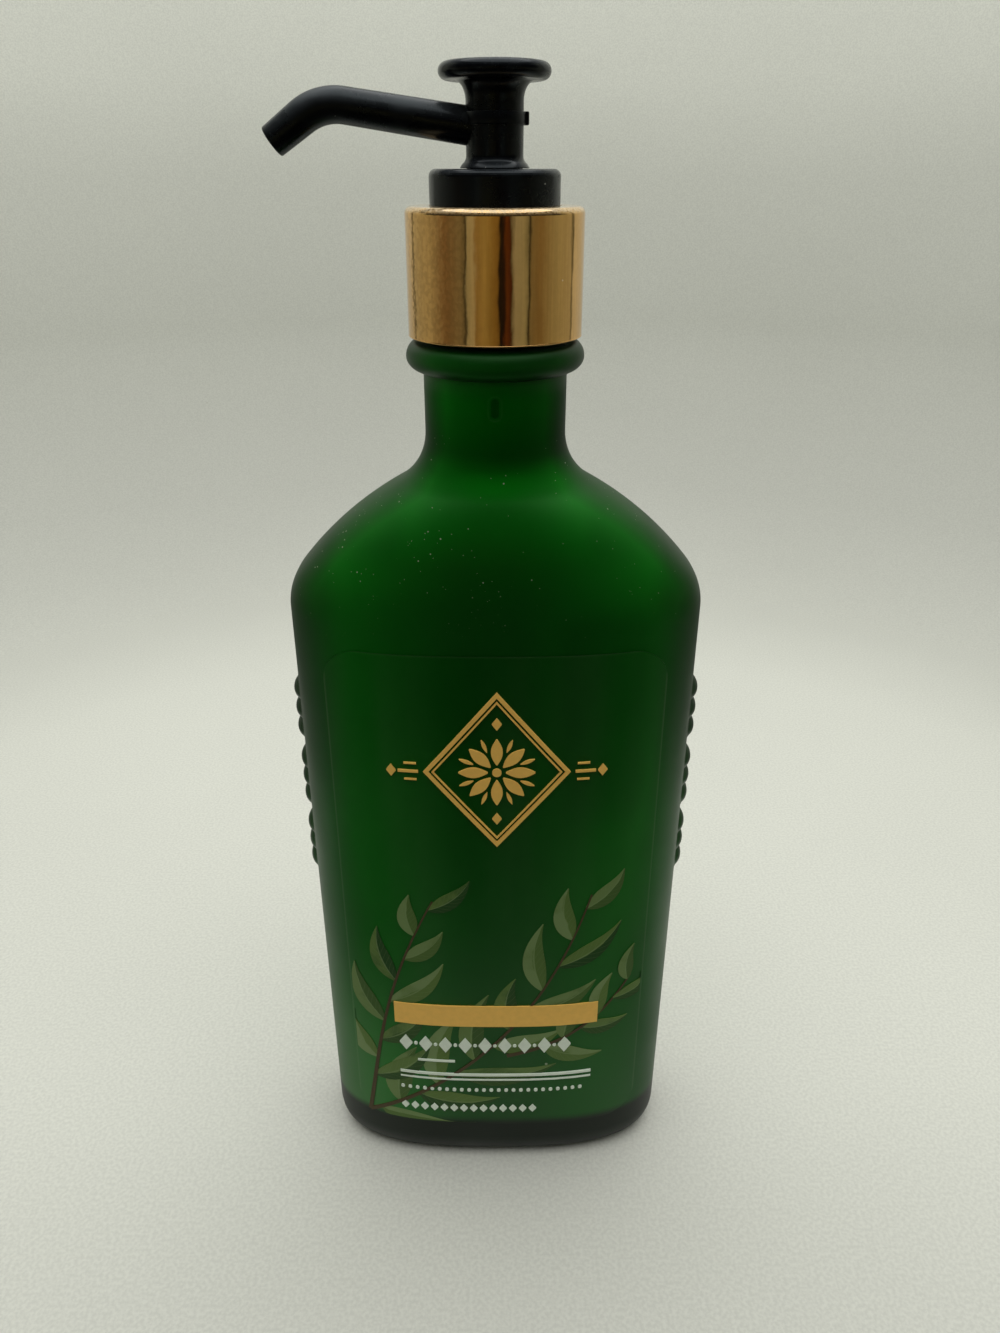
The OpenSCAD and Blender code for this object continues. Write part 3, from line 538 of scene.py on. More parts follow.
def flask_rings():
    """Rings from the middle of the base, over the outside, through the mouth and down the inside."""
    foot_a, foot_b = side_halves(0.0, RIM_W)
    inner_a, inner_b = foot_a - HEEL_SIDE, foot_b - HEEL_FRONT
    base = np.concatenate([
        rows(BASE_RISE, (inner_a - BASE_RISE) * s, (inner_b - BASE_RISE) * s, SQUARENESS)
        for s in (0.15, 0.5, 0.85, 1.0)] + [rows(0.0, inner_a, inner_b, SQUARENESS)])
    straight = np.concatenate([np.linspace(HEEL_H, LOBES_FROM, 16)[1:],
                               np.arange(LOBES_FROM + LOBE_ROW, LOBES_TO, LOBE_ROW),
                               np.linspace(LOBES_TO, SIDE_H, 8)])
    bead = arc(BEAD_OUT - BEAD_R, BEAD_Z, BEAD_R, -90, 90, 20)
    bead[:, 1] = np.maximum(bead[:, 1], BEAD_Z + (bead[:, 1] - BEAD_Z) * BEAD_UNDER / BEAD_R)
    neck = pairs(NECK_R, np.linspace(NECK_Z, BEAD_Z - BEAD_UNDER, 37)[1:])
    finish = pairs(FINISH_R, np.arange(BEAD_Z + BEAD_R, FINISH_Z - LIP_R, 0.25))
    lip = np.concatenate([arc(FINISH_R - LIP_R, FINISH_Z - LIP_R, LIP_R, 0, 90, 5),
                          arc(FINISH_BORE_R + LIP_R, FINISH_Z - LIP_R, LIP_R, 90, 180, 5)])
    bore = [[FINISH_BORE_R, BEAD_Z + BEAD_R], [NECK_R - WALL, BEAD_Z - BEAD_R]]
    upper = round_rows(np.concatenate([neck, bead, finish, lip, bore]))
    inside = np.concatenate([heel(FLOOR_Z, WALL, 8), sides(np.linspace(HEEL_H, SIDE_H, 10)[1:], WALL),
                             shoulder(WALL, 6)])[::-1]
    pool = [rows(FLOOR_Z, inside[-1, 1] * s, inside[-1, 2] * s, SQUARENESS) for s in (0.6, 0.2)]
    table = np.concatenate([base, heel(0.0, 0.0, 14), sides(straight, 0.0), shoulder(0.0, 12), upper,
                            inside, *pool])
    fine_y = np.linspace(-6.0, 6.0, 41)
    fine = np.sign(fine_y) * np.arcsin((np.abs(fine_y) / BODY_B) ** (SQUARENESS / 2))
    broad = np.linspace(fine[-1], np.pi - fine[-1], 65)[1:-1]
    turn = np.concatenate([fine, broad, fine + np.pi, broad + np.pi])
    z, a, b, squareness = (table[:, k:k + 1] for k in range(4))
    x, y = superellipse(turn[None, :], a, b, squareness)
    z = np.repeat(z, len(turn), axis=1)
    outside = np.arange(len(table))[:, None] < len(table) - len(inside) - len(pool) - len(bore)
    x = np.where(outside & (z > LOBE_ZONE[0]) & (z < LOBE_ZONE[1]), with_lobes(x, y, z), x)
    y = np.where(outside & (z > NECK_Z) & (z < BEAD_Z), with_mark(x, y, z), y)
    threaded_x, threaded_y = with_thread(x, y, z)
    x, y = np.where(outside, threaded_x, x), np.where(outside, threaded_y, y)
    return np.stack([x, y, z], axis=2)


def bump(shader, height, strength, distance):
    """Bends the shader's normal as a pattern of heights would."""
    bent = add("Bump", {"Height": height, "Strength": strength, "Distance": distance})
    feed(shader, Normal=bent.outputs[0])


def frost(shader, place, grain, depth):
    """A fine frosted grain."""
    bump(shader, noise(place, 1.0 / grain, 2.0), 0.35, depth)


def by_height(height, stops):
    """A colour that changes with the height, through (height in metres, colour) stops."""
    share = math_node("DIVIDE", height, HEIGHT_SPAN)
    return ramp(share, [(z / HEIGHT_SPAN, colour) for z, colour in stops])


def wall_green(place):
    """The green of the plastic, with painted light and shade in it. By height, painted light brightens the
    shoulder, the neck and the part near the bright floor, and the flat sides in between look deeper.
    Painted light brightens the wall towards the sides, and painted shade darkens faces turned from the
    eye, the round and narrow sides, the shoulder's sides and the right flank. On the neck painted light
    comes from the left, and the fillet has a painted highlight in the middle. Low on the left a painted
    window light and its painted sheen make it milky. Random clouding darkens it a little, and the heel is
    nearly black."""
    across, _, height = axes_of(place)
    reach = math_node("ABSOLUTE", across)
    measures = {"across": across, "reach": reach, "height": height}
    # The plastic's green with painted light and shade by height: lighter at the shoulder, the neck and
    # near the floor
    green = by_height(height, [(z, scaled(GREEN_HUE, depth)) for z, depth in GREEN_LIGHT_BY_HEIGHT])
    # Painted shade on faces turned from the eye
    slant = add("LayerWeight", {"Blend": 0.5}, place.id_data).outputs["Facing"]
    slant_shade = ramp(slant, [(facing, scaled(PALE, gain)) for facing, gain in SLANT_SHADE_GAIN])
    green = colour_mix(1.0, green, slant_shade, "MULTIPLY")
    # Painted light towards the sides, and painted shade on the narrow sides and the parts listed above
    gain = product(span(reach, *LIGHT_TO_THE_SIDES), span(reach, *NARROW_SIDE_SHADE))
    for share, *fades in (ROUND_SIDE_SHADE, SHOULDER_SIDE_SHADE, RIGHT_FLANK_SHADE):
        part = product(*[span(measures[name], low, high) for name, low, high in fades])
        gain = product(gain, span(part, 0.0, 1.0, 1.0, share))
    # Painted light from the left on the neck, and a painted highlight in the middle of the fillet
    neck = colour_mix(span(height, *NECK_FROM), PALE, span(across, *NECK_LIGHT_ACROSS))
    in_fillet = product(span(height, *FILLET_FROM), span(height, *FILLET_TO))
    fillet_highlight = colour_mix(in_fillet, PALE, span(reach, *FILLET_HIGHLIGHT_ACROSS))
    # A painted window light low on the left
    window_light = product(span(across, *WINDOW_ACROSS), span(height, *WINDOW_HEIGHT))
    gain = product(gain, neck, fillet_highlight, span(window_light, 0.0, 1.0, *WINDOW_LIGHT_GAIN))
    clouds = noise(place, 45.0, 3.0)
    green = colour_mix(span(clouds, 0.3, 0.7, 0.0, 0.12), dimmed(green, gain), HEEL_BLACK)
    # The painted sheen of that window
    window_sheen = product(window_light, span(across, *WINDOW_SHEEN_ACROSS, WINDOW_SHEEN, 3 * WINDOW_SHEEN))
    green = colour_mix(window_sheen, green, PALE_DUST_AND_SHEEN)
    return colour_mix(span(height, *HEEL_TOP), HEEL_BLACK, green)


def wall_gloss(shader, place):
    """The sheen by height: strongest near the foot, and weakest on the neck. It takes on the green of
    the wall, but stays grey where the heel is black."""
    height = axes_of(place)[2]
    tint = colour_mix(span(height, *HEEL_TOP), SHEEN_HEEL, SHEEN_GREEN)
    gloss = by_height(height, [(z, scaled(PALE, gloss)) for z, gloss in GLOSS_BY_HEIGHT])
    feed(shader, Specular_Tint=tint, Specular_IOR_Level=gloss)


def mark_shade(place):
    """How far a point lies in the hollow of the index mark on the neck, which takes painted shade, and how
    far on the rim round it, which takes a painted highlight, both from 0 to 1. The mark is a segment with
    a half-width, so the distance is taken from its upright middle line."""
    across, back, height = axes_of(place)
    along = math_node("SUBTRACT", off(height, MARK_Z * MM), (MARK_H - MARK_W) / 2 * MM)
    along = math_node("MAXIMUM", along, 0.0)
    away = length_of(add("CombineXYZ", {0: across, 1: along}).outputs[0])
    in_front = math_node("LESS_THAN", back, 0.0)
    hollow, rim_in, rim_out = (
        span(away, start * MARK_W * MM, end * MARK_W * MM) for start, end in MARK_FADES)
    return product(hollow, in_front), product(rim_in, rim_out, in_front)


def frosted_green():
    """Deep green plastic, frosted, its green carrying painted light and shade: nearly black where the heel
    is thick, with painted shade inside the index mark and a painted highlight on its rim, with faint
    clouding in the colour and the sheen, and specks of dust on the shoulder."""
    made, shader, place = material("bottle_green", HEEL_BLACK, 0.42)
    height = axes_of(place)[2]
    clouds = noise(place, 60.0, 3.0)
    drifts = noise(place, 110.0, 2.0, Distortion=1.5)
    specks = math_node("MAXIMUM", dust(place, 0.0013, 0.00011, 0.6), dust(place, 0.0007, 0.00006, 0.5))
    specks = product(specks, span(height, *DUSTY_FROM), span(height, *DUSTY_TO),
                     span(drifts, 0.48, 0.58))
    hollow, rim = mark_shade(place)
    # Painted shade in the mark's hollow, and a painted highlight on its rim
    green = colour_mix(product(hollow, MARK_PAINTED_SHADE), wall_green(place), HEEL_BLACK)
    green = colour_mix(product(rim, MARK_RIM_HIGHLIGHT), green, PALE_DUST_AND_SHEEN)
    feed(shader, Base_Color=colour_mix(specks, green, PALE_DUST_AND_SHEEN),
         Roughness=span(clouds, 0.25, 0.75, 0.38, 0.46))
    wall_gloss(shader, place)
    frost(shader, place, 0.0003, 0.00002)
    return made


flask = surface("flask", [flask_rings()], frosted_green())
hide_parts("bottle")
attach(flask, "flask")


# --- Label film ---
# A clear film with round corners, stuck to the front face. Its cut edges are a little milky and carry a
# painted highlight, so that it shows as a hair line round the print, fainter along the top.

LABEL_HALF_W, LABEL_Z, LABEL_TOP, LABEL_CORNER_R = 27.0, 9.8, 112.0, 6.0
FILM_BACK, FILM_FRONT = 0.02, 0.14
# The cut edges' milky line with its painted highlight: where it fades in from the border in millimetres,
# its share, and the share along the top
EDGE_FROM, EDGE_TO, MILKY_EDGE_AND_HIGHLIGHT, TOP_EDGE = 0.4, 0.1, 0.10, 0.3


def front_skin(x, z, lift):
    """The point of the flask's front at x and z, lifted off it: y from |x/a|^n + |y/b|^n = 1 with both
    half-widths grown by the lift."""
    a, b = side_halves(z, -lift)
    y = -b * (1 - np.minimum(np.abs(x) / a, 1) ** SQUARENESS) ** (1 / SQUARENESS)
    return np.stack([x, y, z], axis=-1)


def plate(left, right, back, front, across):
    """Rings of a thin plate on the flask's front, carried from end to end between a left and a right
    edge, each an array of (x, z) points: across its front from left to right, and back behind."""
    share = np.linspace(0, 1, across)[None, :, None]
    flat = left[:, None, :] * (1 - share) + right[:, None, :] * share
    facing = front_skin(flat[..., 0], flat[..., 1], front)
    hidden = front_skin(flat[:, ::-1, 0], flat[:, ::-1, 1], back)
    return np.concatenate([facing, hidden], axis=1)


def stretched(place, level, upright):
    """The place scaled across and upright, for a pattern with a grain."""
    return add("Mapping", {"Vector": place, "Scale": (level, level, upright)}).outputs[0]


def film_material():
    """The film: the flask's green, with its painted light and shade, seen through it, with finer frost,
    faint streaks, and edges that are a little milky and carry a painted highlight.
    """
    made, shader, place = material("label_film", HEEL_BLACK, 0.4)
    streaks = noise(stretched(place, 60.0, 9.0), 1.0, 3.0)
    green = colour_mix(span(streaks, 0.4, 0.7, 0.0, 0.03), wall_green(place), PALE_DUST_AND_SHEEN)
    across, _, height = axes_of(place)
    # The cut edges: a little milky, and a painted highlight
    side, top = (
        span(way, (end - EDGE_FROM) * MM, (end - EDGE_TO) * MM, 0.0, share) for way, end, share in [
            (math_node("ABSOLUTE", across), LABEL_HALF_W, 1.0), (height, LABEL_TOP, TOP_EDGE)])
    edge = product(math_node("MAXIMUM", side, top), MILKY_EDGE_AND_HIGHLIGHT)
    green = colour_mix(edge, green, PALE_DUST_AND_SHEEN)
    specks = dust(place, 0.0075, 0.00028, 0.12)
    feed(shader, Base_Color=colour_mix(specks, green, PALE_DUST_AND_SHEEN),
         Roughness=span(streaks, 0.25, 0.75, 0.36, 0.44))
    wall_gloss(shader, place)
    frost(shader, place, 0.00025, 0.00001)
    return made


corner = np.radians(np.linspace(3, 90, 10))
film_rise = np.concatenate([LABEL_CORNER_R * (1 - np.cos(corner)) + LABEL_Z,
                            np.linspace(LABEL_Z + LABEL_CORNER_R, LABEL_TOP - LABEL_CORNER_R, 40)[1:-1],
                            LABEL_TOP - LABEL_CORNER_R * (1 - np.cos(corner[::-1]))])
film_inset = np.concatenate([1 - np.sin(corner), np.zeros(38), 1 - np.sin(corner[::-1])]) * LABEL_CORNER_R
film_left, film_right = (pairs(way * (LABEL_HALF_W - film_inset), film_rise) for way in (-1, 1))
film = surface("label_film", [plate(film_left, film_right, FILM_BACK, FILM_FRONT, 97)], film_material())
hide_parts("front_label")
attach(film, "flask")


# --- Print on the film ---
# Inks printed on the film: three sprays of slender leaves, a gold lozenge with a rosette, a gold band,
# and rows of white diamonds, rules and dots. Each is a thin plate that follows the front face.

INK_BACK = 0.09
LEAF_LIFT, LEAF_STEP, INK_LIFT = 0.17, 0.004, 0.40
LEAF_LEAN, LEAN_LOSS, LEAF_CURL = 46, 20, 0.12
SHORTENING, NARROWING, UNEVENNESS = 0.40, 0.35, 0.16
VEINS, VEINS_SLOPE = 9.0, 3.5
LEAF_OLIVE = (0.110, 0.190, 0.040)
LEAF_PALE = (0.190, 0.280, 0.105)
LEAF_DEEP = (0.018, 0.068, 0.012)
STEM_BROWN = (0.085, 0.060, 0.025)
INK_GOLD = (1.0, 0.59, 0.13)
INK_WHITE = (0.84, 0.93, 0.80)
GOLD_MIDDLE = (0.2, 91.5)
PRINT_LOW, PRINT_HIGH = (-26.6, 10.3), (26.6, 111.5)


def bezier(start, pull_start, pull_end, end, steps):
    """Points on the cubic curve that leaves start towards pull_start and reaches end from pull_end."""
    t = np.linspace(0, 1, steps)[:, None]
    corners = [np.asarray(p, float) for p in (start, pull_start, pull_end, end)]
    weights = [(1 - t) ** 3, 3 * t * (1 - t) ** 2, 3 * t ** 2 * (1 - t), t ** 3]
    return sum(weight * point for weight, point in zip(weights, corners))


def directions(path):
    """The direction of a path at each of its points, of length 1."""
    along = np.gradient(path, axis=0)
    return along / np.linalg.norm(along, axis=1, keepdims=True)


def band_edges(path, half_width):
    """The left and right edges of a band about a path: the path moved to each side, square to its
    direction, by the half-width."""
    along = directions(path)
    leftward = pairs(-along[:, 1], along[:, 0]) * np.reshape(half_width, (-1, 1))
    return path + leftward, path - leftward


def bar(start, end, half_width):
    """A straight bar from start to end."""
    return band_edges(np.linspace(start, end, 12), np.full(12, half_width))


def diamond(x, z, half_w, half_h):
    """A diamond: a band along x whose half-width falls evenly to both ends."""
    t = np.linspace(-0.96, 0.96, 9)
    return band_edges(pairs(x + half_w * t, z), half_h * (1 - np.abs(t)))


def dot(x, z, radius):
    """A round dot: a band along x with the half-width of a circle."""
    t = np.cos(np.radians(np.linspace(170, 10, 9)))
    return band_edges(pairs(x + radius * t, z), radius * np.sqrt(1 - t ** 2))


def print_ink(name, colour):
    """Printed ink: one colour with a slightly uneven film thickness."""
    made, shader, place = material(name, colour, 0.5, Specular_IOR_Level=0.2)
    uneven = noise(place, 900.0, 2.0)
    feed(shader, Base_Color=colour_mix(span(uneven, 0.25, 0.75), scaled(colour, 0.94), colour))
    return made


def spray(path, count, reach, girth, first):
    """Leaves in turn on both sides of a stem: each springs from the path at an even share of it, leans
    forward and curls, and gets shorter towards the tip. The film's edge cuts off what would pass it."""
    leaves = []
    for k in range(count):
        share = first + (0.97 - first) * k / (count - 1)
        at = share * (len(path) - 1)
        root, ahead = (np.array([np.interp(at, np.arange(len(path)), column) for column in points.T])
                       for points in (path, directions(path)))
        side = 1 if k % 2 else -1
        lean = math.radians(side * (LEAF_LEAN - LEAN_LOSS * share))
        way = np.array([ahead[0] * math.cos(lean) - ahead[1] * math.sin(lean),
                        ahead[0] * math.sin(lean) + ahead[1] * math.cos(lean)])
        length = reach * (1.0 - SHORTENING * share) * (1.0 + UNEVENNESS * math.sin(5.1 * k))
        curl = np.array([-way[1], way[0]]) * length * LEAF_CURL * side
        rib = bezier(root, root + way * length * 0.33 + curl, root + way * length * 0.66 + curl,
                     root + way * length - curl * 0.4, 15)
        t = np.linspace(0.02, 0.985, 15)
        width = girth * (1.0 - NARROWING * share) * np.sin(np.pi * t ** 0.75) ** 1.1 + 0.05
        leaves.append([np.clip(edge, PRINT_LOW, PRINT_HIGH) for edge in band_edges(rib, width)])
    return leaves


def leaf_material():
    """Printed leaves: one half of each blade paler than the other, clouded, with fine pale veins. The
    blade's UV map runs along it and across it, and its tone sets how deep its green is."""
    made, shader, place = material("print_leaves", LEAF_OLIVE, 0.45, Specular_IOR_Level=0.2)
    along, across, _ = axes_of(add("UVMap", tree=shader.id_data, uv_map="blade").outputs[0])
    tone = add("Attribute", tree=shader.id_data, attribute_name="tone").outputs["Fac"]
    clouds = noise(place, 170.0, 4.0)
    deep = colour_mix(tone, LEAF_DEEP, LEAF_OLIVE)
    pale = colour_mix(tone, LEAF_OLIVE, LEAF_PALE)
    half = math_node("ADD", across, math_node("MULTIPLY_ADD", clouds, 0.5, -0.25))
    blade = colour_mix(span(half, 0.47, 0.53), pale, deep)
    blade = colour_mix(span(clouds, 0.52, 0.72, 0.0, 0.6), blade, deep)
    off_middle = off(across, 0.5)
    blade = colour_mix(span(off_middle, 0.02, 0.045, 0.7, 0.0), blade, LEAF_PALE)
    slope = math_node("MULTIPLY_ADD", off_middle, -VEINS_SLOPE, product(along, VEINS))
    stripe = off(math_node("FRACT", slope), 0.5)
    blade = colour_mix(span(stripe, 0.06, 0.0, 0.0, 0.35), blade, LEAF_PALE)
    feed(shader, Base_Color=blade)
    return made


def print_piece(name, plates, ink, attributes=None):
    """One printed piece of thin plates."""
    made = surface(name, plates, ink, attributes=attributes)
    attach(made, "flask")


def plates_of(outlines, front, across=3):
    """A thin plate for each outline."""
    return [plate(left, right, INK_BACK, front, across) for left, right in outlines]


# Each stem's path, and its leaves: number, length, girth, and the share of the path below the first
STEMS = [
    (bezier((-25.0, 10.5), (-8.0, 22.0), (8.0, 34.0), (16.5, 66.0), 40), 13, 19.0, 2.7, 0.05),
    (bezier((-25.0, 10.5), (-22.0, 28.0), (-21.0, 44.0), (-11.0, 65.0), 40), 9, 16.0, 2.4, 0.2),
    (bezier((2.0, 28.5), (12.0, 31.0), (19.0, 36.0), (24.5, 46.0), 40), 6, 12.5, 2.1, 0.25),
]
LEAF_ACROSS = 7
across_share = np.linspace(0, 1, LEAF_ACROSS)
across_share = np.concatenate([across_share, across_share[::-1]])
blade_plates, blade_maps, blade_tones = [], [], []
for order, (left, right) in enumerate(blade for stem in STEMS for blade in spray(*stem)):
    rings = plate(left, right, INK_BACK, LEAF_LIFT + LEAF_STEP * order, LEAF_ACROSS)
    along_share = np.linspace(0, 1, len(rings))
    blade_maps.append(np.stack(np.meshgrid(along_share, across_share, indexing="ij"), axis=-1))
    blade_tones.append(np.full(rings.shape[:2], 0.5 + 0.5 * math.sin(2.3 * order + 0.7)))
    blade_plates.append(rings)
print_piece("print_leaves", blade_plates, leaf_material(), {"blade": blade_maps, "tone": blade_tones})
stems = [band_edges(stem[0], np.linspace(0.42, 0.14, 40)) for stem in STEMS]
print_piece("print_stems", plates_of(stems, LEAF_LIFT + 0.1), print_ink("print_stems", STEM_BROWN))


def lozenge(middle, half_w, half_h, half_line):
    """The four mitred sides of a lozenge frame of one line width. Its corners move out and in along the
    axes, each by the half line over the sine of the side's slope to that axis."""
    slope = math.hypot(half_w, half_h)
    ways = np.array([(1, 0), (0, 1), (-1, 0), (0, -1), (1, 0)])
    inner, outer = (
        middle + ways * (half_w + line * slope / half_h, half_h + line * slope / half_w)
        for line in (-half_line, half_line))
    return [(np.linspace(*inner[k:k + 2], 14), np.linspace(*outer[k:k + 2], 14)) for k in range(4)]


def rosette(middle, petals, start, reach, girth, turn):
    """Pointed petals about a middle, each a band from a start radius out to its reach."""
    made = []
    for k in range(petals):
        q = 2 * math.pi * k / petals + turn
        t = np.linspace(0.03, 0.97, 11)
        out = start + (reach - start) * t
        path = pairs(middle[0] + out * math.cos(q), middle[1] + out * math.sin(q))
        made.append(band_edges(path, girth * np.sin(np.pi * t)))
    return made


# Lozenges: half-width, half-height, half line. Rosettes: petals, start, reach, girth, turn
LOZENGES = [(11.4, 14.0, 0.32), (10.3, 12.7, 0.13)]
ROSETTES = [(8, 1.3, 6.3, 0.95, 0.0), (8, 4.0, 6.6, 0.3, math.pi / 8)]
# Side rules: height, start and end from the middle, half line
SIDE_RULES = [(0.0, 12.6, 15.9, 0.22), (1.5, 12.9, 14.9, 0.14), (-1.5, 12.9, 14.9, 0.14)]
SMALL_DIAMOND, ROSETTE_DOT, SIDE_DIAMOND_X, END_DIAMOND_Z = (0.8, 1.1), 0.75, 17.0, 8.9
BAND_Z, BAND_LEFT, BAND_RIGHT, BAND_HALF_H = 38.6, -18.8, 18.7, 2.5
# White rows: mark, x and z of the first, step, number, sizes. White rules: height, start, end, half line
WHITE_ROWS = [(diamond, -16.9, 31.2, 3.7, 9, 1.25, 1.9), (dot, -15.05, 31.2, 3.7, 8, 0.34),
              (dot, -18.0, 19.4, 1.42, 25, 0.36), (diamond, -17.7, 14.4, 1.9, 14, 0.75, 0.95)]
WHITE_RULES = [(27.0, -14.8, -7.8, 0.22), (23.5, -18.3, 18.0, 0.28), (22.2, -18.3, 18.0, 0.14)]

gx, gz = GOLD_MIDDLE
gold_lines = [line for sizes in LOZENGES for line in lozenge(GOLD_MIDDLE, *sizes)]
gold_lines += [petal for sizes in ROSETTES for petal in rosette(GOLD_MIDDLE, *sizes)]
gold_lines += [dot(gx, gz, ROSETTE_DOT), diamond(gx, gz + END_DIAMOND_Z, *SMALL_DIAMOND),
               diamond(gx, gz - END_DIAMOND_Z, *SMALL_DIAMOND)]
for way in (-1, 1):
    gold_lines.append(diamond(gx + way * SIDE_DIAMOND_X, gz, *SMALL_DIAMOND))
    for z, start, end, line in SIDE_RULES:
        gold_lines.append(bar((gx + way * start, gz + z), (gx + way * end, gz + z), line)[::way])
gold_lines.append(bar((BAND_LEFT, BAND_Z), (BAND_RIGHT, BAND_Z), BAND_HALF_H))
print_piece("print_gold", plates_of(gold_lines, INK_LIFT, 5), print_ink("print_gold", INK_GOLD))

white_marks = [bar((start, z), (end, z), line) for z, start, end, line in WHITE_RULES]
for mark, x, z, step, number, *sizes in WHITE_ROWS:
    white_marks += [mark(x + step * k, z, *sizes) for k in range(number)]
print_piece("print_white", plates_of(white_marks, INK_LIFT), print_ink("print_white", INK_WHITE))


# --- Closure ---
# A plastic screw cap grips the finish. Over it sits a drawn aluminium shell, anodised gold and polished
# like a mirror, with its top edge turned in round the lock collar.

shell_low, shell_high = (1000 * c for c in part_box("closure_shell"))
SHELL_TOP_R, SHELL_BOTTOM_R = shell_high[0] - 0.05, shell_high[0]
SHELL_T, SHELL_EDGE_R, SHELL_HOLE_R, SHELL_HEM_R = 0.4, 0.9, 9.15, 0.12
GOLD = (0.90, 0.54, 0.20)
# The pale of the top edge: dust, with a painted highlight
EDGE_DUST_AND_HIGHLIGHT = (0.72, 0.60, 0.40)
CAP_IVORY, FOAM_WHITE = (0.78, 0.76, 0.70), (0.80, 0.80, 0.77)
MILK_DEPTH = (0.0012, 0.0012, 0.0010)


def gold_material():
    """Polished gold anodised aluminium. Upright ripples from the drawing bend the reflections, and the
    left side has an orange-peel polish, which bends them too and is darkened in pits as painted mottling
    of the reflections. Pale specks of dust lie on it, and the turned-in top edge has a gritty pale band
    that is
    not metal: dust there, with a painted highlight that whitens the rim."""
    made, shader, place = material("shell_gold", GOLD, 0.07, Metallic=1.0)
    across, _, height = axes_of(place)
    mottle = noise(place, 260.0, 4.0)
    ripple = noise(stretched(place, 330.0, 140.0), 1.0, 2.0)
    peel = noise(place, 1500.0, 1.0)
    on_left = span(across, -0.003, -0.006)
    drawn = noise(stretched(place, 2600.0, 90.0), 1.0, 2.0)
    shade = colour_mix(span(drawn, 0.35, 0.65), GOLD, scaled(GOLD, 0.90))
    # Painted mottling of the reflections on the orange-peel left side
    peel_mottle = product(span(peel, 0.40, 0.62), span(on_left, 0.0, 1.0, 0.25, 1.0))
    shade = colour_mix(peel_mottle, shade, scaled(GOLD, 0.80))
    gritty = noise(place, 2600.0, 2.0)
    edge_z = shell_high[2] - SHELL_EDGE_R
    # Dust with a painted highlight on the top of the turned-in edge
    on_edge = product(span(height, edge_z * MM, (edge_z + 0.65) * MM), span(gritty, 0.35, 0.6, 0.35, 0.75))
    specks = dust(place, 0.0030, 0.00010, 0.2)
    dust_and_highlight = math_node("MAXIMUM", specks, on_edge)
    waves = product(peel, span(on_left, 0.0, 1.0, 0.05, 0.35))
    bump(shader, math_node("ADD", ripple, waves), 1.0, 0.00006)
    feed(shader, Base_Color=colour_mix(dust_and_highlight, shade, EDGE_DUST_AND_HIGHLIGHT),
         Metallic=math_node("SUBTRACT", 1.0, dust_and_highlight),
         Roughness=span(mottle, 0.3, 0.7, 0.04, 0.09))
    return made


shell_z = shell_high[2]
hem_x, hem_z = SHELL_BOTTOM_R - SHELL_HEM_R + 0.03, shell_low[2] + SHELL_HEM_R
side_from, side_to = shell_low[2] + 2 * SHELL_HEM_R, shell_z - SHELL_EDGE_R
side = np.linspace([SHELL_BOTTOM_R, side_from], [SHELL_TOP_R, side_to], 24)
shell_profile = np.concatenate([
    arc(hem_x, hem_z, SHELL_HEM_R, -90, 60, 9), side,
    arc(SHELL_TOP_R - SHELL_EDGE_R, shell_z - SHELL_EDGE_R, SHELL_EDGE_R, 0, 90, 12),
    [[SHELL_HOLE_R + 0.1, shell_z], [SHELL_HOLE_R, shell_z - 0.1], [SHELL_HOLE_R, shell_z - SHELL_T]],
    arc(SHELL_TOP_R - SHELL_EDGE_R, shell_z - SHELL_EDGE_R, SHELL_EDGE_R - SHELL_T, 90, 0, 6),
    [[SHELL_BOTTOM_R - SHELL_T, shell_low[2] + 0.1], [SHELL_BOTTOM_R - SHELL_T + 0.1, shell_low[2]]],
])
shell = surface("closure_shell_gold", [turned(shell_profile, 256)], gold_material(), "joined")
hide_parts("closure_shell")
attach(shell, "closure")


def natural_plastic(name, colour, roughness, grain=0.0004):
    """Unpainted moulded plastic: milky, with slight clouding and a fine moulded grain."""
    made, shader, place = material(name, colour, roughness, IOR=1.48, Subsurface_Weight=0.25,
                                   Subsurface_Radius=MILK_DEPTH, Subsurface_Scale=1.0)
    clouds = noise(place, 120.0, 3.0)
    feed(shader, Base_Color=colour_mix(span(clouds, 0.3, 0.7), colour, scaled(colour, 0.93)))
    frost(shader, place, grain, 0.00001)
    return made


def dress(node, made):
    """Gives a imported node's object the material."""
    nodes[node].data.materials.clear()
    nodes[node].data.materials.append(made)


dress("screw_cap", natural_plastic("cap_plastic", CAP_IVORY, 0.4))
dress("neck_gasket", natural_plastic("gasket_foam", FOAM_WHITE, 0.75, 0.00015))


# --- Pump body ---
# The pump hangs in the neck by its flange: a milky barrel with the inlet ball under its cage, the dip
# tube pressed into its tail, and the return spring, wound from bright wire.

MILKY = (0.76, 0.79, 0.77)
WIRE_R, COIL_R, SPRING_TURNS = 0.45, 4.3, 6
STEEL = (0.60, 0.61, 0.63)

for piece in ("pump_housing", "dip_tube", "ball_cage"):
    dress(piece, natural_plastic("pump_plastic_" + piece, MILKY, 0.32))


def steel_material(name, roughness):
    """Bright drawn steel with fine scratches in its sheen."""
    made, shader, place = material(name, STEEL, roughness, Metallic=1.0)
    scratches = noise(place, 1500.0, 3.0)
    feed(shader, Roughness=span(scratches, 0.3, 0.7, roughness, roughness + 0.12))
    return made


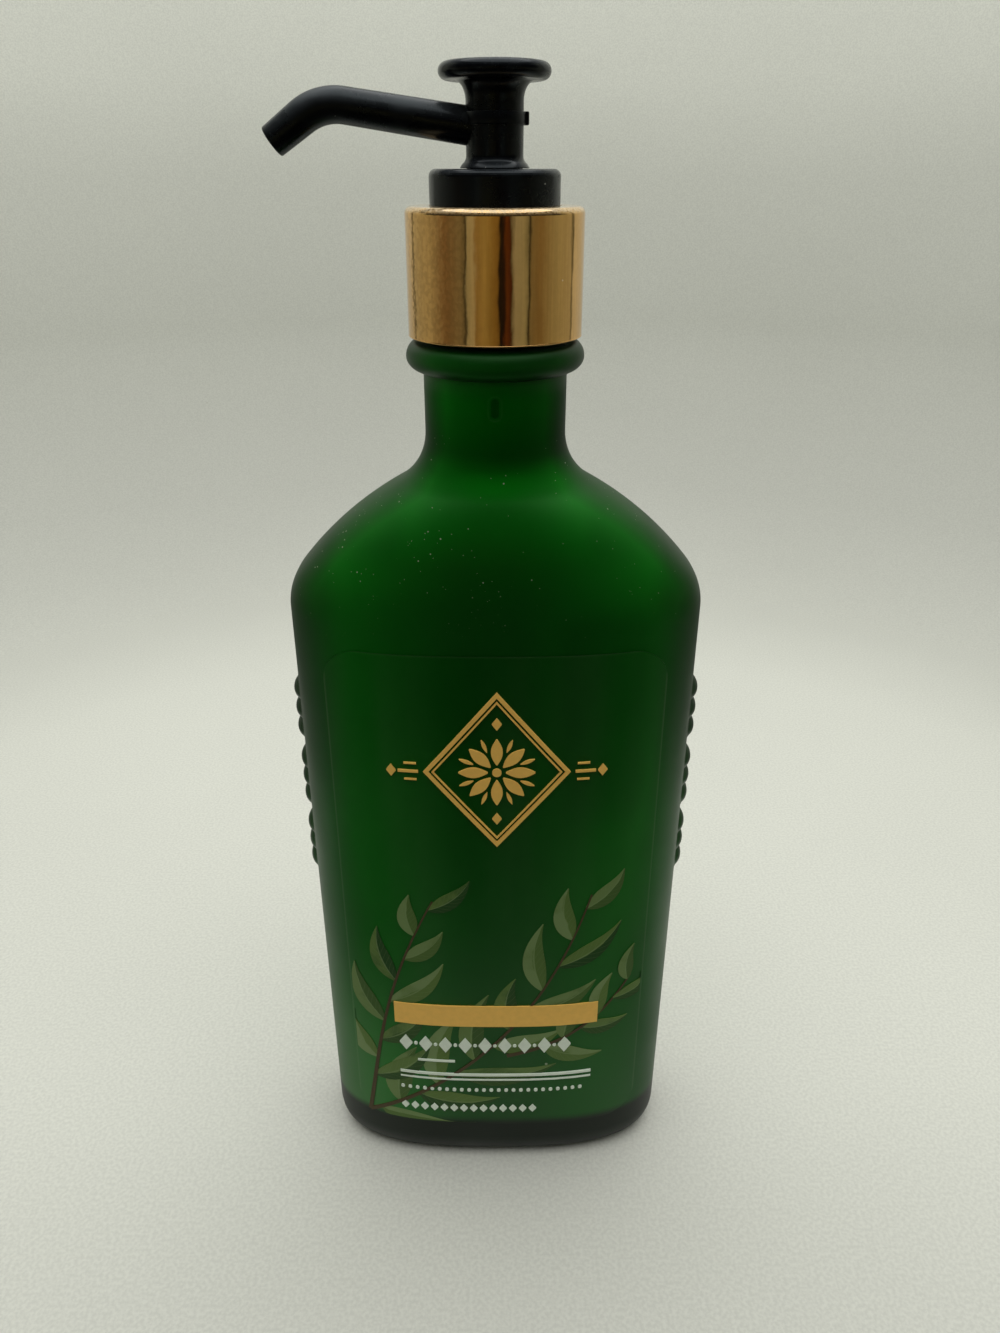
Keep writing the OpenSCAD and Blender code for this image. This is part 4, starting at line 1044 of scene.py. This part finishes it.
def spring_rings():
    """A round wire carried along a helix: rings of the wire's circle, square enough to the helix."""
    spring_low, spring_high = (1000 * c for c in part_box("return_spring"))
    turn = np.linspace(0, 2 * np.pi * SPRING_TURNS, 40 * SPRING_TURNS + 1)[:, None]
    rise = spring_high[2] - spring_low[2] - 2 * WIRE_R
    z = spring_low[2] + WIRE_R + rise * turn / turn[-1]
    q = np.linspace(0, 2 * np.pi, 13)[None, :-1]
    radius = COIL_R - WIRE_R * np.cos(q)
    return np.stack([radius * np.cos(turn), radius * np.sin(turn), z + WIRE_R * np.sin(q)], axis=2)


spring = surface("return_spring_wire", [spring_rings()], steel_material("spring_steel", 0.22))
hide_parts("return_spring")
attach(spring, "pump_body")


# --- Plunger and valves ---
# A white piston slides on the stem, between the stem's stop ring and the plug pressed into its foot. The
# balls of the two valves are small and of polished steel.

WHITE_PLASTIC = (0.80, 0.80, 0.77)

for piece in ("piston", "stem", "valve_plug"):
    dress(piece, natural_plastic("piston_plastic_" + piece, WHITE_PLASTIC, 0.35))
for piece in ("inlet_ball", "outlet_ball"):
    dress(piece, steel_material("valve_steel_" + piece, 0.08))


# --- Lock collar ---
# A black moulded cap, snapped on the housing's boss above the gold shell. The head screws down into it,
# which locks the pump.

BLACK = (0.0006, 0.0007, 0.0012)
# The veil on what faces up: dust, and a painted sheen; stronger on the spout
BLACK_DUST_AND_SHEEN, SPOUT_DUST_AND_SHEEN = (0.022, 0.026, 0.030), (0.046, 0.053, 0.057)
COOL_SHEEN, PALE_SPECK = (0.80, 0.92, 1.0, 1.0), (0.25, 0.25, 0.23)


def black_material(name, roughness=0.16, veil=BLACK_DUST_AND_SHEEN):
    """Glossy black plastic with a cool sheen: uneven gloss from handling, a soft ripple of moulding in the
    reflections, a veil on what faces up that is partly dust and partly a painted sheen, and pale specks."""
    made, shader, place = material(name, BLACK, roughness, Specular_IOR_Level=0.24,
                                   Specular_Tint=COOL_SHEEN)
    smears = noise(place, 130.0, 5.0, Roughness=0.62)
    upward = axes_of(add("NewGeometry", tree=shader.id_data).outputs["Normal"])[2]
    # Dust and a painted sheen on what faces up
    dust_and_sheen_on_top = product(span(upward, -0.1, 0.8), span(smears, 0.3, 0.7, 0.3, 1.0))
    shade = colour_mix(dust_and_sheen_on_top, BLACK, veil)
    specks = math_node("MAXIMUM", dust(place, 0.0016, 0.00009, 0.2), dust(place, 0.0006, 0.00004, 0.12))
    feed(shader, Base_Color=colour_mix(specks, shade, PALE_SPECK),
         Roughness=span(smears, 0.35, 0.75, roughness, roughness + 0.22))
    bump(shader, noise(place, 210.0, 1.0), 0.3, 0.00006)
    return made


dress("lock_collar", black_material("head_black_collar"))


# --- Pump head ---
# The finger disc, its waisted hub, the skirt and the threaded shank are one black moulding. The stem is
# pressed into its foot, and the spout into the side of the hub.

HEAD_R, HUB_R, HUB_FILLET_R, SKIRT_R, SHANK_R, SHANK_BORE_R = 7.4, 3.85, 1.1, 4.7, 3.8, 2.84
DISC_T, DISC_DISH, FLARE_H, FLARE_W, SKIRT_H = 2.1, 0.6, 2.3, 1.5, 1.0
LOCK_PITCH, LOCK_DEPTH = 1.6, 0.42
head_low, head_high = (1000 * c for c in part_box("pump_head"))


def head_rings():
    """The head's profile from the foot of its shank to the dish of its disc, carried round; the shank's
    radius dips along a helix for its thread."""
    top, foot = head_high[2], head_low[2]
    skirt_z = 1000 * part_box("lock_collar")[1].z + 0.05
    rim_r = DISC_T / 2
    flare_z = top - DISC_T - FLARE_H
    shank = pairs(SHANK_R, np.linspace(foot + 0.2, skirt_z, 52))
    q = np.radians(np.linspace(0, 90, 12))
    flare = pairs(HUB_R + FLARE_W - FLARE_W * np.cos(q), flare_z + FLARE_H * np.sin(q))
    dish = np.linspace(0.92, 0.05, 10)
    profile = np.concatenate([
        [[SHANK_BORE_R, foot], [SHANK_R - 0.25, foot]], shank,
        [[SKIRT_R - 0.08, skirt_z], [SKIRT_R, skirt_z + 0.08], [SKIRT_R - 0.06, skirt_z + 0.18]],
        arc(HUB_R + HUB_FILLET_R, skirt_z + SKIRT_H + 0.5, HUB_FILLET_R, 245, 180, 8),
        pairs(HUB_R, np.linspace(skirt_z + SKIRT_H + 0.7, flare_z - 0.2, 8)), flare,
        arc(HEAD_R - rim_r, top - rim_r, rim_r, -90, 96, 20),
        pairs((HEAD_R - rim_r) * dish, top - DISC_DISH * (1 - dish ** 2))])
    x, y, z = np.moveaxis(turned(profile, 128), -1, 0)
    phase = np.mod((z - foot) / LOCK_PITCH - np.arctan2(y, x) / (2 * np.pi), 1)
    groove = np.clip(1.5 - 6 * np.abs(phase - 0.5), 0, 1) * LOCK_DEPTH
    on_shank = (z > foot + 0.3) & (z < skirt_z - 0.6)
    shrink = 1 - np.where(on_shank, groove, 0) / np.maximum(np.hypot(x, y), 0.1)
    return np.stack([x * shrink, y * shrink, z], axis=2)


head = surface("pump_head_black", [head_rings()], black_material("head_black"))
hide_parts("pump_head")
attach(head, "head")


# --- Spout ---
# A tapered tube that climbs from the hub, bends over and points down at the hand. A strap moulded on it
# goes round the hub and closes in a small clasp behind.

SPOUT_ROOT_R, SPOUT_BEND_R, SPOUT_TIP_R, SPOUT_BORE_R = 2.4, 2.25, 2.1, 1.35
SPOUT_Z, SPOUT_RISE, SPOUT_FALL = 4.6, 8.2, 34.5
SPOUT_START, SPOUT_RUN, SPOUT_TURN_R, SPOUT_DROP, TIP_EDGE_R = 2.6, 20.0, 8.0, 5.2, 0.22
BORE_DEPTHS, BORE_LEAD_IN = [0.0, 0.25, 3.0, 8.0, 12.0], 0.2
STRAP_Z, STRAP_H, STRAP_T, CLASP_W, CLASP_OUT = 5.2, 1.5, 0.3, 1.6, 0.7
SPOUT_ROUGHNESS = 0.2
collar_top = 1000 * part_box("lock_collar")[1].z


def spout_axis(along):
    """Points and directions on the spout's axis at given lengths from the hub's middle: a straight climb,
    an arc that turns the direction down, and a straight fall. The direction is its angle above level."""
    rise, fall = math.radians(SPOUT_RISE), math.radians(SPOUT_FALL)
    swept = np.clip((along - SPOUT_RUN) / SPOUT_TURN_R, 0, rise + fall)
    first = np.minimum(along, SPOUT_RUN)
    last = np.maximum(along - SPOUT_RUN - SPOUT_TURN_R * (rise + fall), 0)
    heading = rise - swept
    x = -first * math.cos(rise) + SPOUT_TURN_R * (np.sin(heading) - math.sin(rise)) - last * math.cos(fall)
    z = first * math.sin(rise) + SPOUT_TURN_R * (np.cos(heading) - math.cos(rise)) - last * math.sin(fall)
    return x, collar_top + SPOUT_Z + z, heading


def spout_rings():
    """Circles square to the axis, from inside the hub to the tip, over its edge and back down the bore."""
    bend = SPOUT_TURN_R * math.radians(SPOUT_RISE + SPOUT_FALL)
    whole = SPOUT_RUN + bend + SPOUT_DROP
    outer = np.concatenate([np.linspace(SPOUT_START, SPOUT_RUN, 14),
                            SPOUT_RUN + np.linspace(0, bend, 22)[1:],
                            np.linspace(SPOUT_RUN + bend, whole - TIP_EDGE_R, 5)[1:]])
    outer_r = np.interp(outer, [0, SPOUT_RUN, SPOUT_RUN + bend, whole],
                        [SPOUT_ROOT_R, SPOUT_BEND_R, SPOUT_BEND_R, SPOUT_TIP_R])
    q = np.radians(np.linspace(0, 90, 6)[1:])
    edge, edge_r = whole - TIP_EDGE_R * (1 - np.sin(q)), SPOUT_TIP_R - TIP_EDGE_R * (1 - np.cos(q))
    bore = whole - np.array(BORE_DEPTHS)
    bore_r = SPOUT_BORE_R + np.where(bore == whole, BORE_LEAD_IN, 0.0)
    along, radius = np.concatenate([outer, edge, bore]), np.concatenate([outer_r, edge_r, bore_r])
    x, z, heading = (v[:, None] for v in spout_axis(along))
    turn = np.linspace(0, 2 * np.pi, 73)[None, :-1]
    upward, sideways = radius[:, None] * np.sin(turn), radius[:, None] * np.cos(turn)
    return np.stack([x + upward * np.sin(heading), -sideways, z + upward * np.cos(heading)], axis=2)


spout_black = black_material("head_black_spout", SPOUT_ROUGHNESS, SPOUT_DUST_AND_SHEEN)
spout = surface("spout_tube", [spout_rings()], spout_black)
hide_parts("spout")
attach(spout, "head")


def softened_box(low, high, edge):
    """Rings of a box with rounded edges, from its foot to its top: each upright edge is a quarter circle,
    and the outline draws in along another quarter circle towards the foot and the top."""
    low, high = np.asarray(low, float), np.asarray(high, float)
    middle, half = (low + high) / 2, (high - low) / 2
    q = np.radians(np.linspace(0, 90, 4))
    cos, sin = half[:2, None] - edge + edge * np.cos(q), half[:2, None] - edge + edge * np.sin(q)
    corner_x = np.concatenate([cos[0], -sin[0], -cos[0], sin[0]])
    corner_y = np.concatenate([sin[1], cos[1], -sin[1], -cos[1]])
    inward = edge * (1 - np.sin(q))
    inward = np.concatenate([inward, inward[::-1]])[:, None]
    rise = edge * (1 - np.cos(q))
    heights = np.concatenate([low[2] + rise, high[2] - rise[::-1]])
    x = middle[0] + corner_x * (1 - inward / half[0])
    y = middle[1] + corner_y * (1 - inward / half[1])
    return np.stack([x, y, np.repeat(heights[:, None], len(corner_x), axis=1)], axis=2)


strap_low = collar_top + STRAP_Z
strap_out, strap_in, soft = HUB_R + STRAP_T, HUB_R - 0.3, 0.12
strap_profile = np.concatenate([
    [[strap_in, strap_low]], arc(strap_out - soft, strap_low + soft, soft, -90, 0, 4),
    arc(strap_out - soft, strap_low + STRAP_H - soft, soft, 0, 90, 4), [[strap_in, strap_low + STRAP_H]]])
clasp_low = (strap_in, -CLASP_W / 2, strap_low - 0.05)
clasp_high = (HUB_R + CLASP_OUT, CLASP_W / 2, strap_low + STRAP_H + 0.05)
for name, lofted, ends in (("hub_strap", turned(strap_profile, 96), "joined"),
                           ("strap_clasp", softened_box(clasp_low, clasp_high, 0.16), "capped")):
    piece = surface(name, [lofted], black_material("head_black_" + name, SPOUT_ROUGHNESS), ends)
    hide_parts("spout")
    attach(piece, "head")
